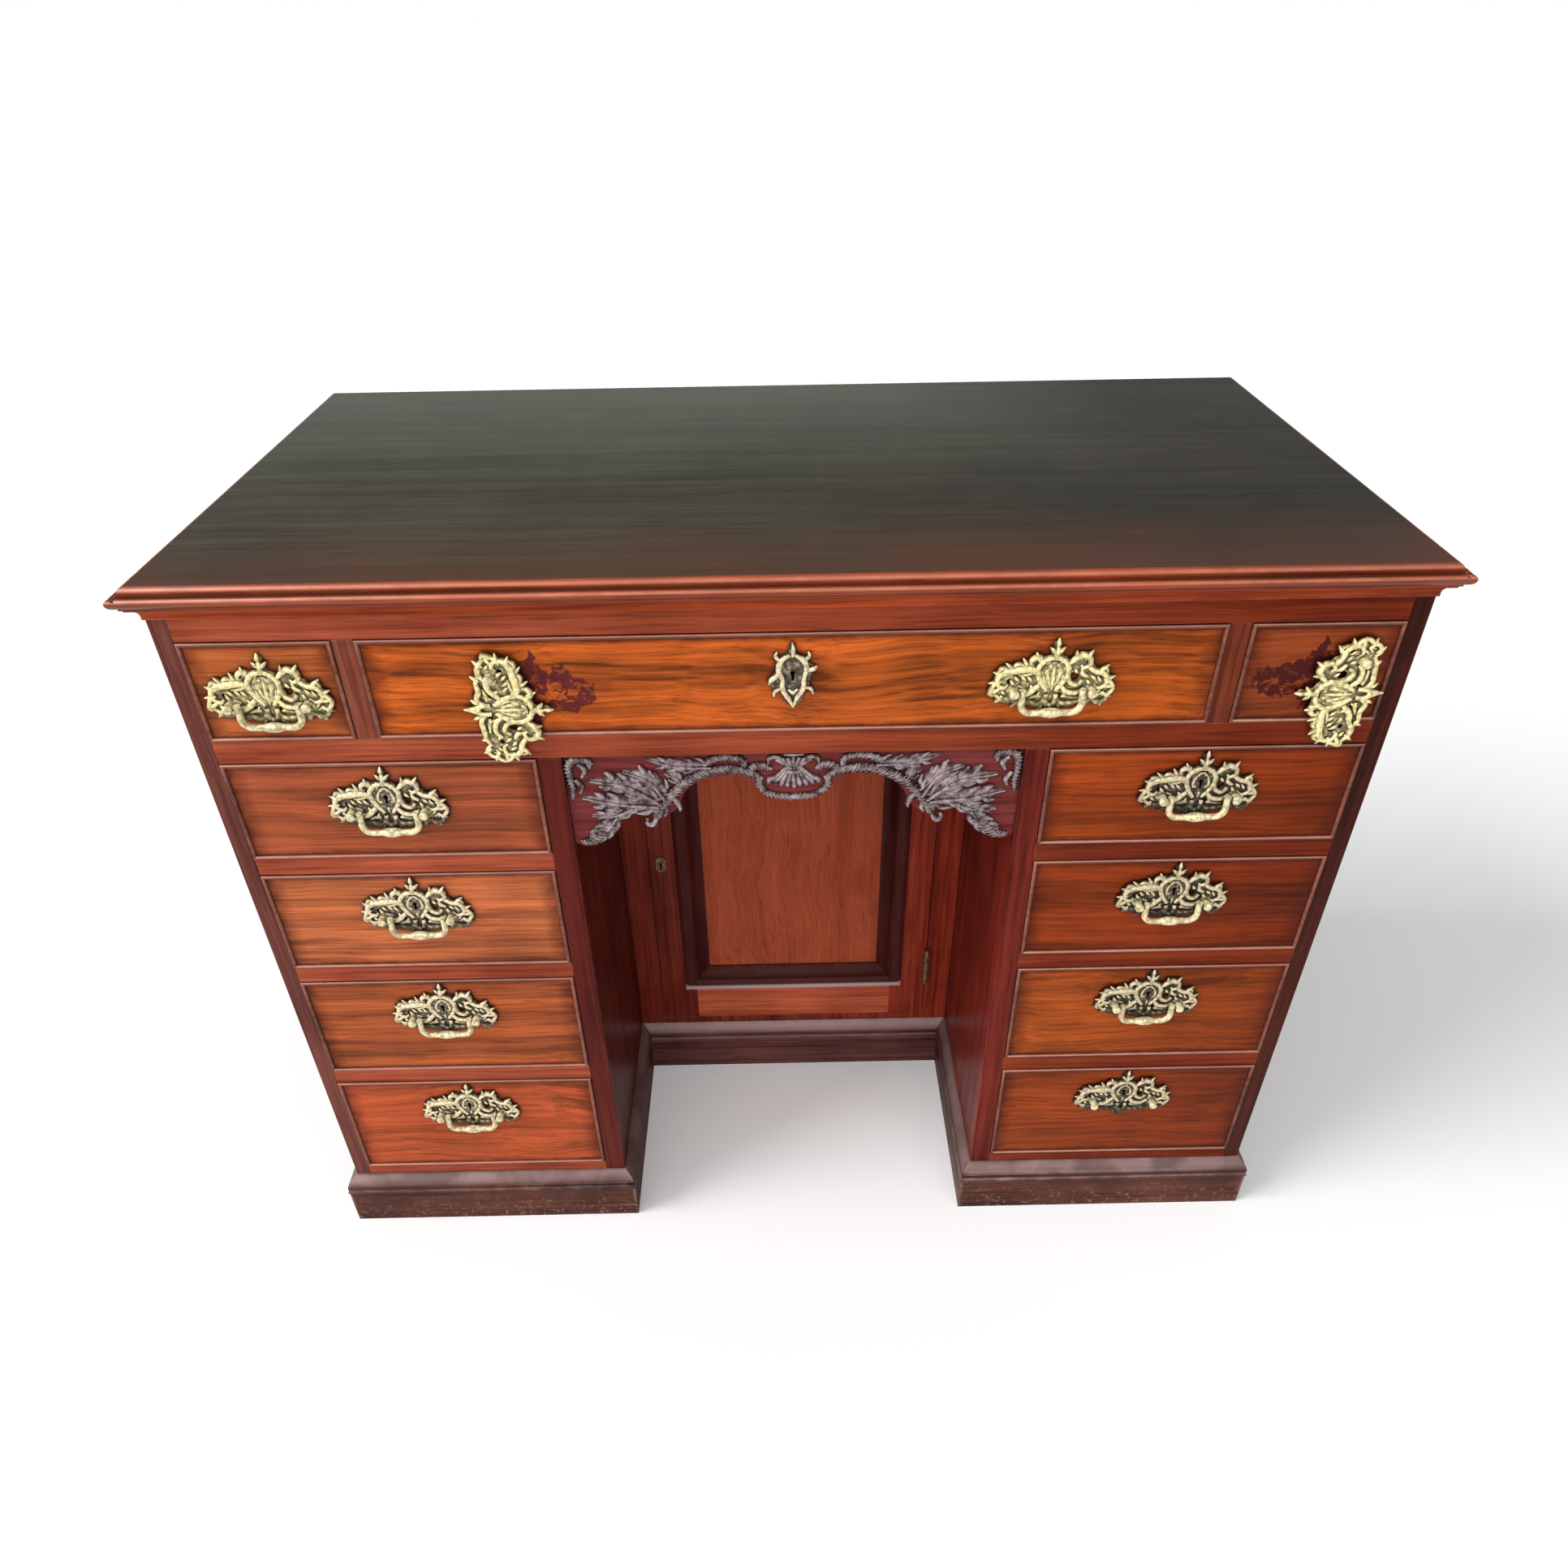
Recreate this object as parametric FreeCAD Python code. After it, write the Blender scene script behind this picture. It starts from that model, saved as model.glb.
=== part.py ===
import FreeCAD, Part
import os
from FreeCAD import Vector

os.makedirs("parts", exist_ok=True)

# Whole desk, in millimetres: x to the right, y to the back, z up from the floor at the middle of the top
desk_height = 772.0
top_width = 1000.0
top_depth = 500.0
overrun = 5.0

# Top board and the edge worked on its front and sides: a roll, a quirk and a nose
top_thick = 17.0
top_overhang = 16.0
top_flat_out = 4.0
top_roll_radius = 4.5
top_nose_radius = 3.0
top_nose_height = 7.5
top_nose_root_out = 10.5

# Hollow bed moulding under the top
bed_height = 12.0
bed_out = 8.5
bed_lip = 2.0
bed_foot_out = 1.5

# Case boards
side_thick = 15.0
knee_side_thick = 20.0
kneehole_width = 380.0
recess_depth = 212.0
back_thick = 10.0
back_board_count = 6
rail_depth = 60.0
rail_height = 18.3
top_rail_height = 32.0
bottom_rail_height = 22.4
frieze_rail_height = 21.7
dustboard_thick = 8.0

# Plinth boards: the case stands on their inner part and the rounded edge laps up round it
seat_height = 60.0
plinth_height = 69.0
plinth_out = 11.0
plinth_face_out = 10.0
plinth_in = 9.0
plinth_bead_low = 46.0
plinth_bead_high = 51.0
plinth_cap_out = 1.5
plinth_cap_height = 1.2

# Drawers: the pedestal rows from the top down, as shares of the height of all five rows together; the
# frieze row has the rest
pedestal_drawer_shares = (0.1763, 0.1995, 0.2228, 0.243)
plate_side_margin = 7.0
partition_thick = 16.8
drawer_gap = 0.6
drawer_length = 440.0
front_thick = 20.0
lining_thick = 9.0
drawer_bottom_thick = 7.0
drawer_bottom_rise = 5.0
lining_drop = 8.0
bead_width = 3.2
bead_out = 2.0
bead_depth = 10.0

# Apron over the kneehole
apron_thick = 12.0
apron_back = 4.0
apron_drop_of_width_share = 0.242
carving_thick = 6.0

# Cupboard in the recess
cupboard_frame_thick = 20.0
jamb_width = 29.4
door_bottom = 79.0
door_under_apron = 5.0
door_gap = 0.6
door_thick = 20.0
stile_width = 42.0
door_bottom_rail = 61.0
door_top_rail = 42.0
panel_sunk = 10.0
panel_thick = 6.0
panel_tongue = 6.0
moulding_width = 30.0
moulding_lap = 13.0
moulding_rise = 4.0
moulding_foot = 2.0
moulding_hollow_width = 14.0
shelf_height_share = 0.51
shelf_thick = 12.0
shelf_set_back = 30.0
hinge_length = 54.0
hinge_inset = 55.0
hinge_leaf_thick = 1.4
hinge_leaf_width = 16.0
knuckle_radius = 3.2
knuckle_stand_off = 0.3
knuckle_gap = 0.3
hinge_pin_radius = 1.6
knuckle_count = 3
lock_width = 38.0
lock_height = 46.0
lock_thick = 9.0
door_lock_inset = 2.0
key_plate_width = 11.0
key_plate_height = 22.0
key_plate_thick = 1.2
door_key_inset = 13.0
door_key_share = 0.568

# Pierced brass handles, measured from the line of their posts; the plate goes by the frieze drawers' height
plate_width_share = 1.097
plate_rise_share = 0.475
plate_drop_share = 0.294
plate_thick = 2.0
boss_height = 1.6
boss_width = 20.0
pierce_radius = 4.0
small_pierce_radius = 2.0
post_spacing_share = 0.63
post_radius = 2.0
running_clearance = 0.08
collar_radius = 4.6
collar_thick = 1.2
post_neck = 1.8
head_radius = 3.8
head_length = 7.0
head_dome = 0.8
head_dome_radius = 2.6
nut_width = 8.0
nut_thick = 3.0
shank_end = 2.5
bail_radius = 2.7
bail_pin_radius = 1.5
bail_drop_share = 0.7
bail_corner_share = 0.45
bail_side_gap = 0.3
knop_radius = 4.2
knop_length = 17.0
keyhole_radius = 2.1
keyhole_slot_width = 2.2
keyhole_slot_height = 7.0
keyhole_rise_share = 0.357
pedestal_finial_margin = 6.0
frieze_finial_margin_share = 0.124
long_handle_reach_share = 0.6096
slipped_stand_off = 2.6
slipped_clearance = 1.5
escutcheon_width_share = 0.407
escutcheon_height_share = 0.645
escutcheon_margin_share = 0.0905

# Unit directions
RIGHT = Vector(1, 0, 0)
LEFT = Vector(-1, 0, 0)
FORTH = Vector(0, -1, 0)
BACK = Vector(0, 1, 0)
UP = Vector(0, 0, 1)
DOWN = Vector(0, 0, -1)

# Places that several pieces share
case_half = top_width / 2 - top_overhang
case_back = top_depth / 2
case_front = top_overhang - case_back
side_inner = case_half - side_thick
knee_half = kneehole_width / 2
knee_outer = knee_half + knee_side_thick
top_under = desk_height - top_thick
back_inner = case_back - back_thick
rail_back = case_front + rail_depth
recess_front = case_front + recess_depth
recess_back = recess_front + cupboard_frame_thick

# Drawer openings from the bottom rail up, in the height that the rails leave
row_count = len(pedestal_drawer_shares)
opening_levels = {}
level = seat_height + bottom_rail_height
all_rails = (row_count - 1) * rail_height + frieze_rail_height + top_rail_height
all_drawers = top_under - level - all_rails - 2 * drawer_gap * (row_count + 1)
for row in (4, 3, 2, 1):
    opening_top = level + all_drawers * pedestal_drawer_shares[row - 1] + 2 * drawer_gap
    opening_levels[row] = (level, opening_top)
    level = opening_top + rail_height
pedestal_top = opening_levels[1][1]
frieze_low = pedestal_top + frieze_rail_height
frieze_high = top_under - top_rail_height
frieze_drawer_height = frieze_high - frieze_low - 2 * drawer_gap
dustboard_low = frieze_low - dustboard_thick

# Sizes that go by the frieze drawers' height or by the width of the kneehole
plate_width = frieze_drawer_height * plate_width_share
small_drawer_width = plate_width + 2 * (bead_width + plate_side_margin)
partition_outer = side_inner - small_drawer_width - 2 * drawer_gap
partition_inner = partition_outer - partition_thick
long_half = partition_inner - drawer_gap
plate_rise = frieze_drawer_height * plate_rise_share
plate_drop = frieze_drawer_height * plate_drop_share
post_spacing = plate_width * post_spacing_share
bail_drop = plate_drop * bail_drop_share
bail_corner_radius = bail_drop * bail_corner_share
keyhole_rise = plate_rise * keyhole_rise_share
escutcheon_width = frieze_drawer_height * escutcheon_width_share
escutcheon_height = frieze_drawer_height * escutcheon_height_share
apron_drop = kneehole_width * apron_drop_of_width_share


def box(x_span, y_span, z_span):
    """Rectangular board between two limits on each axis, in either order."""
    low = Vector(min(x_span), min(y_span), min(z_span))
    high = Vector(max(x_span), max(y_span), max(z_span))
    size = high - low
    return Part.makeBox(size.x, size.y, size.z, low)


def face_of(steps, place):
    """Flat face round an outline; a step is a corner, or a pair of points for an arc through and to."""
    edges = []
    start = steps[0]
    for step in steps[1:] + steps[:1]:
        if isinstance(step[0], tuple):
            through, end = step
            edges.append(Part.Arc(place(start), place(through), place(end)).toShape())
        else:
            end = step
            if end != start:
                edges.append(Part.makeLine(place(start), place(end)))
        start = end
    return Part.Face(Part.Wire(edges))


def run(profile, start, along, out, up, length, first_mitre, last_mitre):
    """Straight length of a moulding; a mitre is how far its end runs on for each unit outward."""
    corners = [point if not isinstance(point[0], tuple) else point[1] for point in profile]
    outs = [corner[0] for corner in corners]
    ups = [corner[1] for corner in corners]
    low_out = min(outs) - overrun
    high_out = max(outs) + overrun
    spare = max(abs(low_out), abs(high_out))
    begin = start - along * spare
    bar = face_of(profile, lambda p: begin + out * p[0] + up * p[1]).extrude(along * (length + 2 * spare))
    plan = [(-first_mitre * low_out, low_out), (-first_mitre * high_out, high_out),
            (length + last_mitre * high_out, high_out), (length + last_mitre * low_out, low_out)]
    base = start + up * (min(ups) - overrun)
    trim = face_of(plan, lambda p: base + along * p[0] + out * p[1])
    return bar.common(trim.extrude(up * (max(ups) - min(ups) + 2 * overrun)))


def surround(profile, x_span, z_span, y):
    """Mitred frame of four mouldings round an upright rectangle, its profile (out, forward)."""
    width = x_span[1] - x_span[0]
    height = z_span[1] - z_span[0]
    return [run(profile, Vector(x_span[0], y, z_span[0]), RIGHT, DOWN, FORTH, width, 1, 1),
            run(profile, Vector(x_span[1], y, z_span[0]), UP, RIGHT, FORTH, height, 1, 1),
            run(profile, Vector(x_span[1], y, z_span[1]), LEFT, UP, FORTH, width, 1, 1),
            run(profile, Vector(x_span[0], y, z_span[1]), DOWN, LEFT, FORTH, height, 1, 1)]


def mirrored(shape):
    """The same piece on the other side of the desk."""
    return shape.mirror(Vector(), RIGHT)


def save(name, solids):
    """One node, with each of its solids kept separate."""
    Part.makeCompound(solids).exportStep("parts/" + name + ".step")


# Top board: the edge profile run both ways, so that its corners meet in mitres
diagonal_share = 0.5 ** 0.5
roll_out = top_flat_out + top_roll_radius
roll_low = top_thick - top_roll_radius
nose_out = top_overhang - top_nose_radius
quirk_rise_share = 0.5
quirk_floor = top_nose_height + top_nose_radius * quirk_rise_share
quirk_out = nose_out - top_nose_radius * (1 - quirk_rise_share ** 2) ** 0.5
under_radius = top_overhang - top_nose_root_out
top_edge = [(top_flat_out, top_thick),
            ((top_flat_out + top_roll_radius * diagonal_share, roll_low + top_roll_radius * diagonal_share),
             (roll_out, roll_low)),
            (roll_out, quirk_floor),
            (quirk_out, quirk_floor),
            ((nose_out, top_nose_height + top_nose_radius), (top_overhang, top_nose_height)),
            ((top_nose_root_out + under_radius * diagonal_share,
              top_nose_height - under_radius * diagonal_share),
             (top_nose_root_out, top_nose_height - under_radius)),
            (top_nose_root_out, 0)]
front_steps = top_edge + [(-(case_back - case_front), 0), (-(case_back - case_front), top_thick)]
front_face = face_of(front_steps, lambda p: Vector(-top_width, case_front - p[0], top_under + p[1]))
half_steps = top_edge + [(-case_half, 0), (-case_half, top_thick)]
side_face = face_of(half_steps, lambda p: Vector(case_half + p[0], -top_depth, top_under + p[1]))
right_half = front_face.extrude(RIGHT * 2 * top_width).common(side_face.extrude(BACK * 2 * top_depth))
save("top_board", [right_half.fuse(mirrored(right_half)).removeSplitter().Solids[0]])

# Bed moulding: three mitred lengths in the corner between the top and the case
bed_hollow_out_share = 0.22
bed_hollow_rise_share = 0.67
bed_hollow_width = bed_out - bed_foot_out
bed_hollow_height = bed_height - bed_lip - bed_foot_out
bed_profile = [(0, 0), (bed_foot_out, 0), (bed_foot_out, bed_foot_out),
               ((bed_foot_out + bed_hollow_width * bed_hollow_out_share,
                 bed_foot_out + bed_hollow_height * bed_hollow_rise_share),
                (bed_out, bed_height - bed_lip)),
               (bed_out, bed_height), (0, bed_height)]
bed_low = top_under - bed_height
case_depth = case_back - case_front
bed_side = run(bed_profile, Vector(case_half, case_front, bed_low), BACK, RIGHT, UP, case_depth, 1, 0)
bed_front = run(bed_profile, Vector(-case_half, case_front, bed_low), RIGHT, FORTH, UP, 2 * case_half, 1, 1)
save("bed_moulding", [bed_front, bed_side, mirrored(bed_side)])

# Case sides from the plinth to the top; the kneehole sides are notched for the rail above them
right_side = box((side_inner, case_half), (case_front, case_back), (seat_height, top_under))
save("right_side", [right_side])
save("left_side", [mirrored(right_side)])
knee_board = box((knee_half, knee_outer), (case_front, back_inner), (seat_height, dustboard_low))
knee_notch = box((knee_half - overrun, knee_outer + overrun), (case_front - overrun, rail_back),
                 (pedestal_top, dustboard_low + overrun))
right_knee_side = knee_board.cut(knee_notch)
save("right_knee_side", [right_knee_side])
save("left_knee_side", [mirrored(right_knee_side)])

# Back boards: upright boards butted edge to edge between the sides
back_board_width = 2 * side_inner / back_board_count
back_boards = []
for index in range(back_board_count):
    edge = -side_inner + index * back_board_width
    back_boards.append(box((edge, edge + back_board_width), (back_inner, case_back),
                           (seat_height, top_under)))
save("back_boards", back_boards)

# Frieze: a rail over its drawers, a rail under them and the two partitions between them
save("frieze_rails", [box((-side_inner, side_inner), (case_front, rail_back), (frieze_high, top_under)),
                      box((-side_inner, side_inner), (case_front, rail_back), (pedestal_top, frieze_low))])
partition = box((partition_inner, partition_outer), (case_front, back_inner), (frieze_low, top_under))
partition_notch = box((partition_inner - overrun, partition_outer + overrun),
                      (case_front - overrun, rail_back), (frieze_high, top_under + overrun))
right_partition = partition.cut(partition_notch)
save("frieze_partitions", [right_partition, mirrored(right_partition)])

# Pedestal rails, and the dustboards behind them that the drawers run on
right_rails = [box((knee_outer, side_inner), (case_front, rail_back), (seat_height, opening_levels[4][0]))]
right_dustboards = []
for row in (4, 3, 2, 1):
    floor_level = opening_levels[row][0]
    right_dustboards.append(box((knee_outer, side_inner), (rail_back, back_inner),
                                (floor_level - dustboard_thick, floor_level)))
    if row < 4:
        right_rails.append(box((knee_outer, side_inner), (case_front, rail_back),
                               (floor_level - rail_height, floor_level)))
save("pedestal_rails", right_rails + [mirrored(rail) for rail in right_rails])
frieze_dustboard = box((-side_inner, side_inner), (rail_back, back_inner), (dustboard_low, frieze_low))
save("dustboards", right_dustboards + [mirrored(board) for board in right_dustboards] + [frieze_dustboard])

# Plinth: mitred boards with a bead along the face and a rounded upper edge
plinth_round_out_share = 0.83
plinth_round_rise_share = 0.58
bead_middle = (plinth_bead_low + plinth_bead_high) / 2
plinth_round_top = plinth_height - plinth_cap_height
plinth_round_through = (plinth_cap_out + (plinth_face_out - plinth_cap_out) * plinth_round_out_share,
                        plinth_bead_high + (plinth_round_top - plinth_bead_high) * plinth_round_rise_share)
plinth_profile = [(-plinth_in, 0), (plinth_face_out, 0), (plinth_face_out, plinth_bead_low),
                  ((plinth_out, bead_middle), (plinth_face_out, plinth_bead_high)),
                  (plinth_round_through, (plinth_cap_out, plinth_round_top)),
                  (plinth_cap_out, plinth_height), (0, plinth_height), (0, seat_height),
                  (-plinth_in, seat_height)]
pedestal_width = case_half - knee_half
right_plinth = [
    run(plinth_profile, Vector(knee_half, case_front, 0), RIGHT, FORTH, UP, pedestal_width, 1, 1),
    run(plinth_profile, Vector(case_half, case_front, 0), BACK, RIGHT, UP, case_depth, 1, 0),
    run(plinth_profile, Vector(knee_half, case_front, 0), BACK, LEFT, UP, recess_depth, 1, -1)]
save("plinth_right", right_plinth)
save("plinth_left", [mirrored(board) for board in right_plinth])
knee_plinth = run(plinth_profile, Vector(-knee_half, recess_front, 0), RIGHT, FORTH, UP,
                  kneehole_width, -1, -1)
back_plinth = box((plinth_in - case_half, case_half - plinth_in), (case_back - plinth_in, case_back),
                  (0, seat_height))
save("plinth_middle", [knee_plinth, back_plinth])

# Apron board: arcs and cusps along the lower edge, as shares of the half width and of the drop
apron_half_shares = [
    (1.0, 0.98), ((0.92, 1.03), (0.85, 0.9)), ((0.81, 0.72), (0.74, 0.65)), ((0.68, 0.62), (0.62, 0.68)),
    ((0.56, 0.67), (0.51, 0.57)), ((0.45, 0.36), (0.33, 0.27)), ((0.25, 0.26), (0.18, 0.37))]
apron_front = case_front + apron_back


def apron_point(share):
    return (knee_half * share[0], pedestal_top - apron_drop * share[1])


apron_corners = [step if not isinstance(step[0], tuple) else step[1] for step in apron_half_shares]
apron_throughs = [step[0] for step in apron_half_shares[1:]]
apron_steps = [(-knee_half, pedestal_top), (knee_half, pedestal_top)]
for step in apron_half_shares:
    apron_steps.append(apron_point(step) if not isinstance(step[0], tuple) else tuple(map(apron_point, step)))
apron_drop_share = 0.5
last_x, last_drop = apron_corners[-1]
apron_steps.append((apron_point((0, apron_drop_share)), apron_point((-last_x, last_drop))))
for through, corner in zip(reversed(apron_throughs), reversed(apron_corners[:-1])):
    apron_steps.append((apron_point((-through[0], through[1])), apron_point((-corner[0], corner[1]))))
apron_face = face_of(apron_steps, lambda p: Vector(p[0], apron_front, p[1]))
save("apron_board", [apron_face.extrude(BACK * apron_thick)])

# Carving on the apron: C scrolls and leaves, each between two ends with a bow to either side.
# A row holds the ends, as shares of half width and drop, and the two bows as shares of the length.
carved_leaf_shares = [
    ((0.19, 0.30), (0.52, 0.62), 0.30, 0.17),
    ((0.22, 0.18), (0.42, 0.17), 0.34, 0.12),
    ((0.36, 0.20), (0.70, 0.08), 0.1, -0.12),
    ((0.30, 0.26), (0.50, 0.20), 0.25, -0.20),
    ((0.52, 0.50), (0.66, 0.85), 0.30, -0.12),
    ((0.56, 0.62), (0.74, 0.20), -0.16, 0.18),
    ((0.58, 0.60), (0.88, 0.25), -0.15, 0.18),
    ((0.60, 0.58), (0.97, 0.42), -0.15, 0.16),
    ((0.60, 0.62), (0.94, 0.56), -0.14, 0.14),
    ((0.70, 0.58), (0.88, 1.01), -0.30, 0.08),
    ((0.80, 0.75), (1.0, 0.99), -0.24, 0.20),
    ((0.93, 0.02), (0.98, 0.34), -0.30, 0.06),
    ((0.04, 0.12), (0.24, 0.26), -0.30, 0.20),
    ((-0.05, 0.47), (0.19, 0.36), 0.30, -0.06),
    ((-0.04, 0.40), (0.12, 0.14), 0.36, -0.10)]


def carved_leaf(row):
    """Leaf or scroll on the apron board, between two bowed edges that meet at both ends."""
    first, last = (Vector(*apron_point(share), 0) for share in row[:2])
    chord = last - first
    across = Vector(-chord.y, chord.x, 0)
    middle = (first + last) / 2
    bows = [middle + across * bow for bow in row[2:4]]
    ends = [(point.x, point.y) for point in (first, last)]
    steps = [ends[0], ((bows[0].x, bows[0].y), ends[1]), ((bows[1].x, bows[1].y), ends[0])]
    return face_of(steps, lambda p: Vector(p[0], apron_front, p[1])).extrude(FORTH * carving_thick)


right_leaves = [carved_leaf(row) for row in carved_leaf_shares]
all_leaves = right_leaves + [mirrored(leaf) for leaf in right_leaves]
shell_radius_share = 0.07
shell_drop_share = 0.3
shell_centre = apron_point((0, shell_drop_share))
shell = Part.makeCylinder(knee_half * shell_radius_share, carving_thick,
                          Vector(shell_centre[0], apron_front, shell_centre[1]), FORTH)
save("apron_carving", shell.fuse(all_leaves).removeSplitter().Solids)

# Cupboard frame, floor and shelf in the recess; the door opens under the apron's lowest point
apron_lowest_share = max(through[1] for through in apron_throughs)
jamb_inner = knee_half - jamb_width
door_half = jamb_inner - door_gap
door_top = pedestal_top - apron_drop * apron_lowest_share - door_under_apron
door_height = door_top - door_bottom
hinge_levels = (door_bottom + hinge_inset, door_top - hinge_inset - hinge_length)
jamb = box((jamb_inner, knee_half), (recess_front, recess_back), (seat_height, dustboard_low))
right_jamb = jamb
for low in hinge_levels:
    right_jamb = right_jamb.cut(box((jamb_inner - overrun, jamb_inner + hinge_leaf_thick),
                                    (recess_front - overrun, recess_front + hinge_leaf_width),
                                    (low, low + hinge_length)))
save("cupboard_frame", [right_jamb, mirrored(jamb),
                        box((-jamb_inner, jamb_inner), (recess_front, recess_back),
                            (door_top + door_gap, dustboard_low)),
                        box((-jamb_inner, jamb_inner), (recess_front, recess_back),
                            (seat_height, door_bottom - door_gap))])
floor_high = door_bottom - door_gap
shelf_height = door_bottom + door_height * shelf_height_share
save("cupboard_shelves", [box((-knee_half, knee_half), (recess_back, back_inner),
                              (floor_high - dustboard_thick, floor_high)),
                          box((-knee_half, knee_half), (recess_back + shelf_set_back, back_inner),
                              (shelf_height, shelf_height + shelf_thick))])

# Cupboard door: stiles and rails, rebated behind for the sunk panel, with a moulding round it
panel_half = door_half - stile_width
panel_low = door_bottom + door_bottom_rail
panel_high = door_top - door_top_rail
door_back = recess_front + door_thick
panel_front = recess_front + panel_sunk
rebate = box((-panel_half - panel_tongue, panel_half + panel_tongue), (panel_front, door_back + overrun),
             (panel_low - panel_tongue, panel_high + panel_tongue))
stile = box((panel_half, door_half), (recess_front, door_back), (door_bottom, door_top)).cut(rebate)
hinge_stile = stile
for low in hinge_levels:
    hinge_stile = hinge_stile.cut(box((door_half - hinge_leaf_thick, door_half + overrun),
                                      (recess_front - overrun, recess_front + hinge_leaf_width),
                                      (low, low + hinge_length)))
door_key_x = -door_half + door_key_inset
door_key_height = door_bottom + door_height * door_key_share
key_slot = box((door_key_x - keyhole_slot_width / 2, door_key_x + keyhole_slot_width / 2),
               (recess_front - overrun, door_back + overrun),
               (door_key_height - keyhole_slot_height, door_key_height + keyhole_slot_width))
lock_stile = mirrored(stile).cut(key_slot)
low_rail = box((-panel_half, panel_half), (recess_front, door_back), (door_bottom, panel_low)).cut(rebate)
high_rail = box((-panel_half, panel_half), (recess_front, door_back), (panel_high, door_top)).cut(rebate)
save("door_frame", [hinge_stile, lock_stile, low_rail, high_rail])
save("door_panel", [box((-panel_half - panel_tongue, panel_half + panel_tongue),
                        (panel_front, panel_front + panel_thick),
                        (panel_low - panel_tongue, panel_high + panel_tongue))])
sight_inset = moulding_width - moulding_lap
moulding_top = panel_sunk + moulding_rise
bead_start_share = 0.3
hollow_through_shares = (0.6, 0.25)
hollow_through = (moulding_hollow_width * hollow_through_shares[0],
                  panel_sunk * hollow_through_shares[1] + moulding_foot)
moulding_profile = [
    (0, 0), (0, moulding_foot), (hollow_through, (moulding_hollow_width, panel_sunk)),
    (moulding_hollow_width, panel_sunk + moulding_rise * bead_start_share),
    (((moulding_hollow_width + moulding_width) / 2, moulding_top),
     (moulding_width, panel_sunk + moulding_rise * bead_start_share)),
    (moulding_width, panel_sunk), (sight_inset, panel_sunk), (sight_inset, 0)]
save("door_moulding", surround(moulding_profile, (sight_inset - panel_half, panel_half - sight_inset),
                               (panel_low + sight_inset, panel_high - sight_inset), panel_front))

# Butt hinges: the fixed leaf carries two knuckles and the pin, the door's leaf the middle knuckle
pin_x = door_half + door_gap / 2
pin_y = recess_front - knuckle_radius - knuckle_stand_off
knuckle_length = hinge_length / knuckle_count


def knuckle(low, bore):
    place = Vector(pin_x, pin_y, low + knuckle_gap / 2)
    barrel = Part.makeCylinder(knuckle_radius, knuckle_length - knuckle_gap, place, UP)
    return barrel.cut(Part.makeCylinder(bore, hinge_length, Vector(pin_x, pin_y, low - knuckle_length), UP))


def leaf_tongue(x_span, low):
    return box(x_span, (pin_y + hinge_pin_radius + running_clearance, recess_front + hinge_leaf_thick),
               (low + knuckle_gap / 2, low + knuckle_length - knuckle_gap / 2))


fixed_leaves = []
door_leaves = []
for low in hinge_levels:
    fixed_span = (jamb_inner, jamb_inner + hinge_leaf_thick)
    door_span = (door_half - hinge_leaf_thick, door_half)
    leaf_depth = (recess_front, recess_front + hinge_leaf_width)
    fixed = box(fixed_span, leaf_depth, (low, low + hinge_length))
    for barrel_low in (low, low + (knuckle_count - 1) * knuckle_length):
        fixed = fixed.fuse(knuckle(barrel_low, hinge_pin_radius)).fuse(leaf_tongue(fixed_span, barrel_low))
    pin = Part.makeCylinder(hinge_pin_radius, hinge_length, Vector(pin_x, pin_y, low), UP)
    fixed_leaves.append(fixed.fuse(pin).removeSplitter().Solids[0])
    swinging = box(door_span, leaf_depth, (low, low + hinge_length))
    swinging = swinging.fuse(knuckle(low + knuckle_length, hinge_pin_radius + running_clearance))
    swinging = swinging.fuse(leaf_tongue(door_span, low + knuckle_length))
    door_leaves.append(swinging.removeSplitter().Solids[0])
save("hinge_fixed_leaves", fixed_leaves)
save("hinge_door_leaves", door_leaves)

# Cupboard lock behind the stile, and the oval plate round its keyhole
lock_low = door_key_height - lock_height / 2
lock_left = door_lock_inset - door_half
lock_box = box((lock_left, lock_left + lock_width), (door_back, door_back + lock_thick),
               (lock_low, lock_low + lock_height))
oval_corner = key_plate_height / 2 - key_plate_width / 2
oval_steps = [(key_plate_width / 2, -oval_corner), (key_plate_width / 2, oval_corner),
              ((0, key_plate_height / 2), (-key_plate_width / 2, oval_corner)),
              (-key_plate_width / 2, -oval_corner),
              ((0, -key_plate_height / 2), (key_plate_width / 2, -oval_corner))]
oval = face_of(oval_steps, lambda p: Vector(door_key_x + p[0], recess_front, door_key_height + p[1]))
save("door_lock", [lock_box, oval.extrude(FORTH * key_plate_thick).cut(key_slot)])

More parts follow.
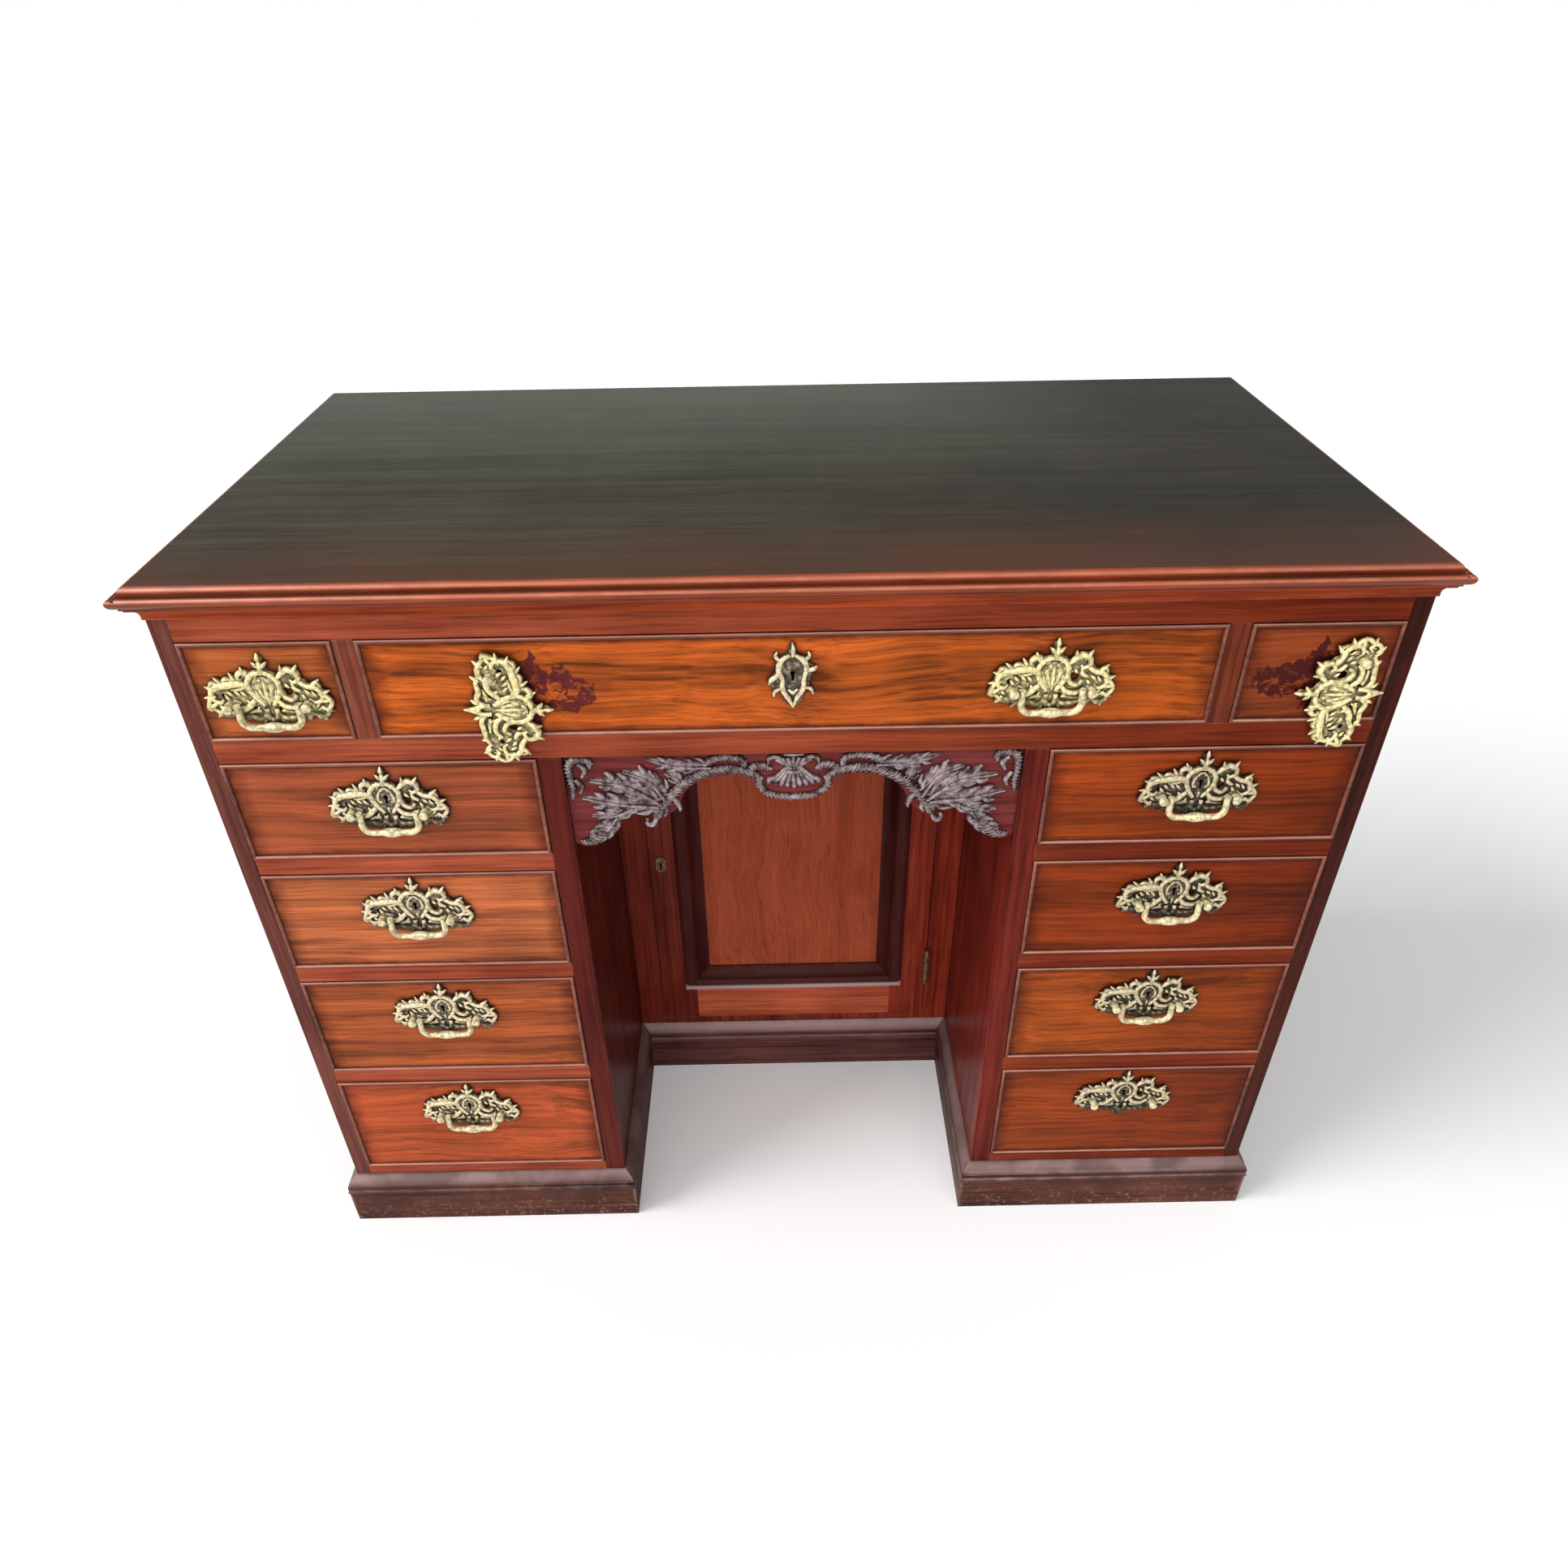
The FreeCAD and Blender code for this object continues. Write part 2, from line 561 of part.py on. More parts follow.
# Handle plate: lobes that meet in cusps, written from the finial round by the right, as shares of the
# half width and of the rise above or the drop below the line of the posts
plate_shares = [
    (0.06, 0.88), ((0.08, 0.76), (0.17, 0.68)), ((0.23, 0.62), (0.29, 0.54)), ((0.43, 0.75), (0.57, 0.54)),
    ((0.64, 0.5), (0.68, 0.36)), ((0.78, 0.42), (0.87, 0.24)), ((0.92, 0.1), (1.0, 0.0)),
    ((0.98, -0.18), (0.92, -0.3)), ((0.79, -0.5), (0.66, -0.36)), ((0.53, -0.56), (0.39, -0.46)),
    ((0.25, -0.57), (0.1, -0.52)), ((0.03, -0.74), (0.0, -1.0)), ((-0.03, -0.74), (-0.1, -0.52)),
    ((-0.25, -0.57), (-0.39, -0.46)), ((-0.53, -0.56), (-0.66, -0.36)), ((-0.79, -0.44), (-0.89, -0.25)),
    ((-0.94, -0.12), (-1.0, -0.06)), ((-0.96, 0.1), (-0.88, 0.17)), ((-0.88, 0.34), (-0.76, 0.36)),
    ((-0.64, 0.46), (-0.51, 0.4)), ((-0.41, 0.5), (-0.33, 0.57)), ((-0.23, 0.69), (-0.13, 0.66)),
    ((-0.05, 0.76), (-0.03, 0.88)), ((0.015, 1.0), (0.06, 0.88))]
big_pierce_share = (0.34, 0.26)
boss_waist_share = 0.33
small_pierce_shares = ((0.42, -0.2), (-0.24, -0.16), (-0.7, 0.18), (0.13, -0.2))


def plate_point(share):
    return (plate_width / 2 * share[0], (plate_rise if share[1] > 0 else plate_drop) * share[1])


def keyhole(rise, depth):
    """Round-headed keyhole through a plate that stands on the plane y = 0."""
    eye = Part.makeCylinder(keyhole_radius, depth, Vector(0, overrun, rise), FORTH)
    return eye.fuse(box((-keyhole_slot_width / 2, keyhole_slot_width / 2), (overrun - depth, overrun),
                        (rise - keyhole_slot_height, rise)))


def plate_solid(has_keyhole):
    """Pierced plate with a raised cartouche, its back on y = 0 and its post line on z = 0."""
    steps = [plate_point(step) if not isinstance(step[0], tuple) else tuple(map(plate_point, step))
             for step in plate_shares]
    plate = face_of(steps, lambda p: Vector(p[0], 0, p[1])).extrude(FORTH * plate_thick)
    holes = [(plate_point(big_pierce_share), pierce_radius)]
    holes += [(plate_point(share), small_pierce_radius) for share in small_pierce_shares]
    holes += [((side * post_spacing / 2, 0), post_radius + running_clearance) for side in (-1, 1)]
    depth = plate_thick + 2 * overrun
    for (x, z), radius in holes:
        plate = plate.cut(Part.makeCylinder(radius, depth, Vector(x, overrun, z), FORTH))
    half_boss = boss_width / 2
    waist = keyhole_rise * boss_waist_share
    boss_steps = [(-half_boss, keyhole_rise), ((0, keyhole_rise + half_boss), (half_boss, keyhole_rise)),
                  ((half_boss / 2, waist), (0, 0)), ((-half_boss / 2, waist), (-half_boss, keyhole_rise))]
    boss = face_of(boss_steps, lambda p: Vector(p[0], -plate_thick, p[1])).extrude(FORTH * boss_height)
    plate = plate.fuse(boss)
    if has_keyhole:
        plate = plate.cut(keyhole(keyhole_rise, depth + boss_height))
    return plate.removeSplitter().Solids[0]


# Posts: a turned head bored for the bail, a collar on the plate, and a shank through the drawer front
collar_face = plate_thick + collar_thick
head_back = collar_face + post_neck
head_front = head_back + head_length
bail_out = head_back + head_length / 2


def post_solids(place, bored):
    """Post and square nut for a plate whose back is on the plane through the place."""
    grip = front_thick + nut_thick + shank_end
    steps = [(0, -grip), (post_radius, -grip), (post_radius, plate_thick), (collar_radius, plate_thick),
             (post_radius, collar_face), (post_radius, head_back), (head_radius, head_back + head_dome),
             (head_radius, head_front), (head_dome_radius, head_front + head_dome),
             (0, head_front + head_dome)]
    post = face_of(steps, lambda p: Vector(p[0], -p[1], 0)).revolve(Vector(), BACK, 360).Solids[0]
    if bored:
        bore = bail_pin_radius + running_clearance
        start = Vector(-collar_radius, -bail_out, 0)
        post = post.cut(Part.makeCylinder(bore, 2 * collar_radius, start, RIGHT))
    post.translate(place)
    half_nut = nut_width / 2
    nut_low = case_front + front_thick
    nut = box((place.x - half_nut, place.x + half_nut), (nut_low, nut_low + nut_thick),
              (place.z - half_nut, place.z + half_nut))
    nut_bore = Part.makeCylinder(post_radius + running_clearance, front_thick,
                                 Vector(place.x, nut_low + front_thick / 2, place.z), FORTH)
    return [post, nut.cut(nut_bore)]


# Bail: sprung between the posts on two pins, with arms that drop and round into the bow, and a swelling knop
arm_x = post_spacing / 2 - head_radius - bail_side_gap - bail_radius
pin_end = post_spacing / 2 + head_radius / 2


def bail_solid(place):
    bow_z = -bail_drop
    corner_z = bow_z + bail_corner_radius
    bow_x = arm_x - bail_corner_radius
    turn_share = 0.5 ** 0.5
    turn = bail_corner_radius * turn_share
    arm_path = [Part.makeLine(Vector(arm_x, 0, bail_radius), Vector(arm_x, 0, corner_z)),
                Part.Arc(Vector(arm_x, 0, corner_z), Vector(bow_x + turn, 0, corner_z - turn),
                         Vector(bow_x, 0, bow_z)).toShape(),
                Part.makeLine(Vector(bow_x, 0, bow_z), Vector(0, 0, bow_z))]
    section = Part.Wire(Part.makeCircle(bail_radius, Vector(arm_x, 0, bail_radius), DOWN))
    arm = Part.Wire(arm_path).makePipeShell([section], True, False)
    pin = Part.makeCylinder(bail_pin_radius, pin_end - arm_x, Vector(arm_x, 0, 0), RIGHT)
    half_knop = knop_length / 2
    knop_steps = [(-half_knop, 0), (-half_knop, bail_radius), ((0, knop_radius), (half_knop, bail_radius)),
                  (half_knop, 0)]
    knop = face_of(knop_steps, lambda p: Vector(p[0], 0, bow_z + p[1]))
    knop = knop.revolve(Vector(0, 0, bow_z), RIGHT, 360).Solids[0]
    half = arm.fuse(pin)
    bail = knop.fuse([half, mirrored(half)]).removeSplitter().Solids[0]
    bail.translate(place - BACK * bail_out)
    return bail


# Drawers: the front with its mitred cock beads, two sides, a back and a bottom
bead_round_share = 0.5
bead_profile = [(0, -bead_depth), (bead_width, -bead_depth), (bead_width, bead_out * bead_round_share),
                ((bead_width / 2, bead_out), (0, bead_out * bead_round_share))]


def drawer_solids(x_span, z_span, holes):
    """Drawer for an opening; the holes are cut through its front for the posts and the lock."""
    x_low, x_high = x_span[0] + drawer_gap, x_span[1] - drawer_gap
    z_low, z_high = z_span[0] + drawer_gap, z_span[1] - drawer_gap
    inner_x = (x_low + bead_width, x_high - bead_width)
    inner_z = (z_low + bead_width, z_high - bead_width)
    front_back = case_front + front_thick
    face = box(inner_x, (case_front, case_front + bead_depth), inner_z)
    front = face.fuse(box((x_low, x_high), (case_front + bead_depth, front_back), (z_low, z_high)))
    for hole in holes:
        front = front.cut(hole)
    tail = case_front + drawer_length
    lining_high = z_high - lining_drop
    left_lining = box((x_low, x_low + lining_thick), (front_back, tail), (z_low, lining_high))
    right_lining = box((x_high - lining_thick, x_high), (front_back, tail), (z_low, lining_high))
    between = (x_low + lining_thick, x_high - lining_thick)
    bottom_low = z_low + drawer_bottom_rise
    bottom_high = bottom_low + drawer_bottom_thick
    bottom = box(between, (front_back, tail), (bottom_low, bottom_high))
    rear = box(between, (tail - lining_thick, tail), (bottom_high, lining_high))
    beads = surround(bead_profile, inner_x, inner_z, case_front)
    return [front.removeSplitter().Solids[0], left_lining, right_lining, rear, bottom] + beads


def post_holes(places):
    return [Part.makeCylinder(post_radius + running_clearance, front_thick + 2 * overrun,
                              Vector(place.x, case_front - overrun, place.z), BACK) for place in places]


def key_slot_in_front(x, z):
    return box((x - keyhole_slot_width / 2, x + keyhole_slot_width / 2),
               (case_front - overrun, case_front + front_thick + overrun), (z - keyhole_slot_height, z))


lock_above_share = 0.25


def lock_behind(x, z):
    """Plain lock case on the back of a drawer front, behind its keyhole."""
    low = case_front + front_thick
    return box((x - lock_width / 2, x + lock_width / 2), (low, low + lock_thick),
               (z - lock_height / 2, z + lock_height * lock_above_share))


def posts_of(centre):
    return [centre + RIGHT * side * post_spacing / 2 for side in (-1, 1)]


def handle_solids(centre, has_keyhole):
    """Seated handle: plate, two posts with nuts and, behind a keyhole, the lock."""
    plate = plate_solid(has_keyhole)
    plate.translate(centre)
    solids = [plate]
    for place in posts_of(centre):
        solids += post_solids(place, True)
    if has_keyhole:
        solids.append(lock_behind(centre.x, centre.z + keyhole_rise))
    return solids


# Pedestal drawers with their handles; the bottom right handle has lost its bail
pedestal_middle = (knee_outer + side_inner) / 2
for side_name, side in (("left", -1), ("right", 1)):
    for row in (1, 2, 3, 4):
        low, high = opening_levels[row]
        handle_z = high - drawer_gap - pedestal_finial_margin - plate_rise
        centre = Vector(side * pedestal_middle, case_front, handle_z)
        x_span = sorted((side * knee_outer, side * side_inner))
        holes = post_holes(posts_of(centre)) + [key_slot_in_front(centre.x, handle_z + keyhole_rise)]
        name = side_name + "_" + str(row)
        save("drawer_" + name, drawer_solids(x_span, (low, high), holes))
        save("handle_" + name, handle_solids(centre, True))
        if name != "right_4":
            save("bail_" + name, [bail_solid(centre)])

# Frieze drawers: the left one and the right half of the long one keep their whole handles
frieze_span = (frieze_low, frieze_high)
frieze_finial_margin = frieze_drawer_height * frieze_finial_margin_share
frieze_handle_z = frieze_high - drawer_gap - frieze_finial_margin - plate_rise
small_middle = (partition_outer + side_inner) / 2
left_centre = Vector(-small_middle, case_front, frieze_handle_z)
long_handle_reach = long_half * long_handle_reach_share
long_centre = Vector(long_handle_reach, case_front, frieze_handle_z)
for name, centre in (("frieze_left", left_centre), ("long_right", long_centre)):
    save("handle_" + name, handle_solids(centre, False))
    save("bail_" + name, [bail_solid(centre)])

# The other two plates have slipped: each hangs from one post, just clear of the drawer below it
hang_z = pedestal_top + slipped_clearance + plate_width / 2 + post_spacing / 2
slipped = {"long_left": (Vector(-long_handle_reach - post_spacing / 2, case_front, hang_z), -1),
           "frieze_right": (Vector(small_middle + post_spacing / 2, case_front, hang_z), 1)}
for name, (pivot, side) in slipped.items():
    seat = pivot + FORTH * slipped_stand_off
    plate = plate_solid(False)
    plate.translate(RIGHT * -side * post_spacing / 2)
    plate.rotate(Vector(), BACK, -side * 90)
    plate.translate(seat)
    save("handle_" + name, [plate])
    save("post_" + name, post_solids(seat, False))

# Escutcheon of the long drawer, with shares of its half width and half height, and its lock
escutcheon_shares = [
    (0.0, 1.0), ((0.14, 0.86), (0.14, 0.68)), ((0.4, 0.58), (0.46, 0.34)), ((0.72, 0.36), (1.0, 0.2)),
    ((0.8, 0.0), (0.72, -0.2)), ((0.63, -0.36), (0.45, -0.4)), ((0.38, -0.78), (0.0, -1.0)),
    ((-0.36, -0.8), (-0.42, -0.42)), ((-0.72, -0.42), (-1.0, -0.24)), ((-0.8, 0.06), (-0.6, 0.28)),
    ((-0.46, 0.58), (-0.14, 0.68)), ((-0.14, 0.86), (0.0, 1.0))]


def escutcheon_point(share):
    return (escutcheon_width / 2 * share[0], escutcheon_height / 2 * share[1])


escutcheon_margin = frieze_drawer_height * escutcheon_margin_share
escutcheon_z = frieze_high - drawer_gap - escutcheon_margin - escutcheon_height / 2
escutcheon_steps = [escutcheon_point(step) if not isinstance(step[0], tuple)
                    else tuple(map(escutcheon_point, step)) for step in escutcheon_shares]
escutcheon = face_of(escutcheon_steps, lambda p: Vector(p[0], 0, p[1])).extrude(FORTH * plate_thick)
escutcheon = escutcheon.cut(keyhole(keyhole_radius, plate_thick + 2 * overrun))
escutcheon.translate(Vector(0, case_front, escutcheon_z))
save("long_drawer_escutcheon", [escutcheon, lock_behind(0, escutcheon_z)])

# Frieze drawer boxes, bored for the posts that they carry
right_small_span = (partition_outer, side_inner)
left_small_span = (-side_inner, -partition_outer)
long_span = (-partition_inner, partition_inner)
save("drawer_frieze_left", drawer_solids(left_small_span, frieze_span, post_holes(posts_of(left_centre))))
save("drawer_frieze_right", drawer_solids(right_small_span, frieze_span,
                                          post_holes([slipped["frieze_right"][0]])))
long_holes = post_holes(posts_of(long_centre) + [slipped["long_left"][0]])
long_holes.append(key_slot_in_front(0, escutcheon_z + keyhole_radius))
save("drawer_frieze_long", drawer_solids(long_span, frieze_span, long_holes))
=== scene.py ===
import math
import bpy
import numpy as np
from mathutils import Matrix, Vector


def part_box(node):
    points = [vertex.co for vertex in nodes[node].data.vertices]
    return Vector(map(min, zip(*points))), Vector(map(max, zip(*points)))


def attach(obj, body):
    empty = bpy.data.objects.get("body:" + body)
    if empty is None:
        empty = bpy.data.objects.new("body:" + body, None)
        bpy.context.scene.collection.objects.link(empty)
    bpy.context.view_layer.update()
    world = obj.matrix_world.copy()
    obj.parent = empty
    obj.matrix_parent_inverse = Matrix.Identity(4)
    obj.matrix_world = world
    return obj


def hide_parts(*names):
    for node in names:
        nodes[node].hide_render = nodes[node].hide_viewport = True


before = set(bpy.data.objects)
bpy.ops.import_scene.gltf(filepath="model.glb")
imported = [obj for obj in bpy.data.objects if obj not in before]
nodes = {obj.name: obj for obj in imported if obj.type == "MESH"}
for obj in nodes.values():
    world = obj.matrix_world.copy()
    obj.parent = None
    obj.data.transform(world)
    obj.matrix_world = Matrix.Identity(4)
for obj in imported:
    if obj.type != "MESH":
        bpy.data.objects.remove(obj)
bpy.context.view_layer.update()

# Plinth: mitred mahogany boards with a bead and a rounded top edge, which carry the whole desk.
# A century of mops and shoes has scuffed the polish off the arrises and dulled it to a grey brown.
mm = 0.001


def tint(red, green, blue):
    """Linear colour with full alpha from a screen colour in 0 to 255."""
    shares = [value / 255 for value in (red, green, blue)]
    return tuple(s / 12.92 if s <= 0.04045 else ((s + 0.055) / 1.055) ** 2.4 for s in shares) + (1.0,)


def add_node(tree, kind, inputs=None, **settings):
    """New node; an input's value is a number, a colour or the output it is fed from."""
    node = tree.nodes.new(kind)
    for key, value in settings.items():
        setattr(node, key, value)
    for key, value in (inputs or {}).items():
        if isinstance(value, bpy.types.NodeSocket):
            tree.links.new(value, node.inputs[key])
        else:
            node.inputs[key].default_value = value
    return node


def here(tree):
    """Place on the piece, in metres from its own origin."""
    return add_node(tree, "ShaderNodeTexCoord").outputs["Object"]


def axis_of(tree, vector, axis):
    """One number of a vector, its X, Y or Z."""
    return add_node(tree, "ShaderNodeSeparateXYZ", {0: vector}).outputs[axis]


def calc(tree, operation, first, second=0.0):
    """Result of a sum on one or two numbers."""
    return add_node(tree, "ShaderNodeMath", {0: first, 1: second}, operation=operation).outputs[0]


def vector_calc(tree, operation, first, second):
    """Result of a sum on two vectors or colours."""
    return add_node(tree, "ShaderNodeVectorMath", {0: first, 1: second}, operation=operation).outputs[0]


def spread(tree, value, low, high, to_low=0.0, to_high=1.0):
    """Value taken from the range of low to high into another range, and held at the ends of it."""
    inputs = {"Value": value, "From Min": low, "From Max": high, "To Min": to_low, "To Max": to_high}
    return add_node(tree, "ShaderNodeMapRange", inputs).outputs[0]


def mix_colours(tree, share, first, second):
    """First colour with that share of the second one over it."""
    return add_node(tree, "ShaderNodeMix", {0: share, 6: first, 7: second}, data_type="RGBA").outputs[2]


def noise(tree, place, scale, detail, rough=0.5, output=0):
    """Cloudy pattern round a place, finer with a larger scale."""
    inputs = {"Vector": place, "Scale": scale, "Detail": detail, "Roughness": rough}
    return add_node(tree, "ShaderNodeTexNoise", inputs).outputs[output]


def sway(tree, place, scale, detail, reach):
    """Cloudy shift of a place, by up to half the reach each way."""
    cloud = noise(tree, place, scale, detail, output="Color")
    return vector_calc(tree, "MULTIPLY", vector_calc(tree, "SUBTRACT", cloud, (0.5, 0.5, 0.5)), reach)


def open_air(tree, reach, samples):
    """Share of open air round a point within a reach in millimetres."""
    inputs = {"Distance": reach * mm}
    return add_node(tree, "ShaderNodeAmbientOcclusion", inputs, samples=samples).outputs["AO"]


def start_group(name, inputs, outputs):
    """Empty node group with named sockets, given as (name, kind, default) and (name, kind)."""
    tree = bpy.data.node_groups.new(name, "ShaderNodeTree")
    for label, kind, value in inputs:
        socket = tree.interface.new_socket(label, in_out="INPUT", socket_type="NodeSocket" + kind)
        socket.default_value = value
    for label, kind in outputs:
        tree.interface.new_socket(label, in_out="OUTPUT", socket_type="NodeSocket" + kind)
    return tree, add_node(tree, "NodeGroupInput").outputs, add_node(tree, "NodeGroupOutput").inputs


def use_group(tree, group, inputs):
    """Outputs of a node group, placed in a material with its own values."""
    return add_node(tree, "ShaderNodeGroup", inputs, node_tree=group).outputs


# The grain group draws broad bands, fine streaks and short dark pores, all waved by the figure of the board.
grain_tree, given, result = start_group(
    "Mahogany grain",
    [("Grain", "Vector", (3.0, 55.0, 55.0)), ("Shift", "Vector", (0.0, 0.0, 0.0)),
     ("Dark", "Color", (0.05, 0.02, 0.01, 1.0)), ("Light", "Color", (0.3, 0.1, 0.04, 1.0)),
     ("Figure", "Float", 0.3)],
    [("Colour", "Color"), ("Roughness", "Float"), ("Height", "Float")])
wave_reach = 45.0 * mm
streak_weight, band_weight, cloud_weight = 0.42, 0.34, 0.24
board_place = vector_calc(grain_tree, "ADD", here(grain_tree), given["Shift"])
wave = sway(grain_tree, board_place, 9.0, 1.0, (wave_reach, wave_reach, wave_reach))
figured = add_node(grain_tree, "ShaderNodeVectorMath", {0: wave, "Scale": given["Figure"]}, operation="SCALE")
waved_place = vector_calc(grain_tree, "ADD", board_place, figured.outputs[0])
along = vector_calc(grain_tree, "MULTIPLY", waved_place, given["Grain"])
streaks = noise(grain_tree, along, 1.7, 3.0, 0.6)
bands = noise(grain_tree, along, 0.36, 2.0)
pores = spread(grain_tree, noise(grain_tree, along, 5.0, 1.0), 0.56, 0.7, 0.0, 0.4)
clouds = noise(grain_tree, board_place, 11.0, 3.0)
tone = calc(grain_tree, "MULTIPLY", streaks, streak_weight)
tone = calc(grain_tree, "ADD", tone, calc(grain_tree, "MULTIPLY", bands, band_weight))
tone = calc(grain_tree, "ADD", tone, calc(grain_tree, "MULTIPLY", clouds, cloud_weight))
plain = mix_colours(grain_tree, spread(grain_tree, tone, 0.38, 0.6), given["Dark"], given["Light"])
pore_colour = vector_calc(grain_tree, "MULTIPLY", given["Dark"], (0.4, 0.35, 0.35))
grain_tree.links.new(mix_colours(grain_tree, pores, plain, pore_colour), result["Colour"])
grain_tree.links.new(spread(grain_tree, tone, 0.35, 0.65, 0.36, 0.26), result["Roughness"])
grain_tree.links.new(calc(grain_tree, "SUBTRACT", streaks, pores), result["Height"])

# The wear group finds the arrises, where the rounded normal leaves the true one, and breaks them up;
# those that face up are rubbed lighter, as painted light from above. It also finds the faces that look up,
# for dust and a painted sheen, the rounds that take a painted highlight, and the corners that hold old polish
# and painted shade.
wear_tree, given, result = start_group(
    "Rubbed edges", [("Width", "Float", 0.002), ("Amount", "Float", 1.0)],
    [("Mask", "Float"), ("Upward", "Float"), ("Gleam", "Float"), ("Corner", "Float")])
corner_reach = 5.0
rounded = add_node(wear_tree, "ShaderNodeBevel", {"Radius": given["Width"]}, samples=4).outputs[0]
surface = add_node(wear_tree, "ShaderNodeNewGeometry").outputs["Normal"]
facing = add_node(wear_tree, "ShaderNodeVectorMath", {0: rounded, 1: surface}, operation="DOT_PRODUCT")
edge = spread(wear_tree, facing.outputs["Value"], 0.995, 0.86)
patches = spread(wear_tree, noise(wear_tree, here(wear_tree), 45.0, 4.0, 0.65), 0.4, 0.62)
rise = axis_of(wear_tree, rounded, "Z")
worn = calc(wear_tree, "MULTIPLY", calc(wear_tree, "MULTIPLY", edge, patches), given["Amount"])
# Arrises that face up are rubbed lighter, as painted light from above.
lit_from_above = spread(wear_tree, rise, -0.3, 0.4, 0.4, 1.0)
wear_tree.links.new(calc(wear_tree, "MULTIPLY", worn, lit_from_above), result["Mask"])
wear_tree.links.new(spread(wear_tree, rise, 0.2, 0.75), result["Upward"])
# A painted highlight on the rounds that face up and forward.
shine = calc(wear_tree, "MULTIPLY", spread(wear_tree, rise, 0.12, 0.42), spread(wear_tree, rise, 0.96, 0.7))
patchy = spread(wear_tree, patches, 0.0, 1.0, 0.7, 1.0)
wear_tree.links.new(calc(wear_tree, "MULTIPLY", shine, patchy), result["Gleam"])
# Corners darken with old polish and painted shade.
wear_tree.links.new(spread(wear_tree, open_air(wear_tree, corner_reach, 4), 0.62, 0.3), result["Corner"])

along_x = (3.0, 140.0, 140.0)
along_y = (140.0, 3.0, 140.0)
straight = 0.12
# Colours of old polish with painted shade, in corners and round fittings.
corner_polish_and_shade = tint(24, 8, 6)
fitting_polish_and_shade = tint(30, 10, 6)
# Shares of dust with a painted sheen on upward faces, and of corner polish with painted shade.
dust_and_sheen_share = 0.75
corner_polish_and_shade_share = 0.8
pore_depth = 0.3 * mm


def new_material(name):
    """New material, its node tree and its shader."""
    material = bpy.data.materials.new(name)
    material.use_nodes = True
    return material, material.node_tree, material.node_tree.nodes["Principled BSDF"]


def wood(name, dark, light, grain, shift, figure=0.3, worn=None, wear=0.5, edge_width=2.0, polish=0.07,
         rough=1.0, ghost=None, dust_and_sheen_colour=None, painted_falloff=None, gleam=0.3, grime_and_shade=None):
    """Polished wood. The grain gives its direction, the shift picks the board, and worn is the colour of its
    arrises. dust_and_sheen_colour is the colour of its upward faces, dust with a painted sheen;
    painted_falloff is what is left of its colour and the two x between which it fades, as painted light and
    shade; and ghost the x, z and stain of a plate that has moved. Gleam is how far its rounds take the colour
    of the arrises as a painted highlight, and grime_and_shade how far old polish and painted shade reach
    round a fitting, in millimetres."""
    material, tree, shader = new_material(name)
    board = use_group(tree, grain_tree, {"Grain": grain, "Shift": shift, "Dark": tint(*dark),
                                         "Light": tint(*light), "Figure": figure})
    colour = board["Colour"]
    # Painted light and shade: the colour falls off across the piece between two x.
    if painted_falloff:
        left_of_it, bright_x, dim_x = painted_falloff
        dimness = spread(tree, axis_of(tree, here(tree), "X"), bright_x, dim_x)
        dimmed = mix_colours(tree, dimness, (1.0, 1.0, 1.0, 1.0), (*left_of_it, 1.0))
        colour = vector_calc(tree, "MULTIPLY", colour, dimmed)
    if worn:
        edges = use_group(tree, wear_tree, {"Width": edge_width * mm, "Amount": wear})
        # Upward faces take dust with a painted sheen.
        if dust_and_sheen_colour:
            dust_and_sheen = calc(tree, "MULTIPLY", edges["Upward"], dust_and_sheen_share)
            colour = mix_colours(tree, dust_and_sheen, colour, tint(*dust_and_sheen_colour))
        # Arrises are rubbed, and the rounds take a painted highlight in the same colour.
        rubbed_and_gleaming = calc(tree, "MAXIMUM", edges["Mask"], calc(tree, "MULTIPLY", edges["Gleam"], gleam))
        colour = mix_colours(tree, rubbed_and_gleaming, colour, tint(*worn))
        # Corners darken with old polish and painted shade.
        gathered_and_shaded = calc(tree, "MULTIPLY", edges["Corner"], corner_polish_and_shade_share)
        colour = mix_colours(tree, gathered_and_shaded, colour, corner_polish_and_shade)
    if ghost:
        seat_x, seat_z, stain = ghost
        mark = use_group(tree, ghost_tree, {"Seat": (seat_x, 0.0, seat_z)})
        colour = mix_colours(tree, mark["Mask"], colour, tint(*stain))
    # Old polish and painted shade gather round a fitting.
    if grime_and_shade:
        gathered_and_shaded = spread(tree, open_air(tree, grime_and_shade, 6), 0.86, 0.6, 0.0, 0.85)
        colour = mix_colours(tree, gathered_and_shaded, colour, fitting_polish_and_shade)
    tree.links.new(colour, shader.inputs["Base Color"])
    tree.links.new(calc(tree, "MULTIPLY", board["Roughness"], rough), shader.inputs["Roughness"])
    shader.inputs["Specular IOR Level"].default_value = polish
    pitted = {"Strength": 0.25, "Distance": pore_depth, "Height": board["Height"]}
    tree.links.new(add_node(tree, "ShaderNodeBump", pitted).outputs[0], shader.inputs["Normal"])
    return material


def reopen(material):
    """Tree of a finished material, the place on its piece, and its colour so far, to lay one more coat on."""
    tree = material.node_tree
    return tree, here(tree), tree.nodes["Principled BSDF"].inputs["Base Color"].links[0].from_socket


def recolour(tree, colour):
    """Give a finished material that colour."""
    tree.links.new(colour, tree.nodes["Principled BSDF"].inputs["Base Color"])


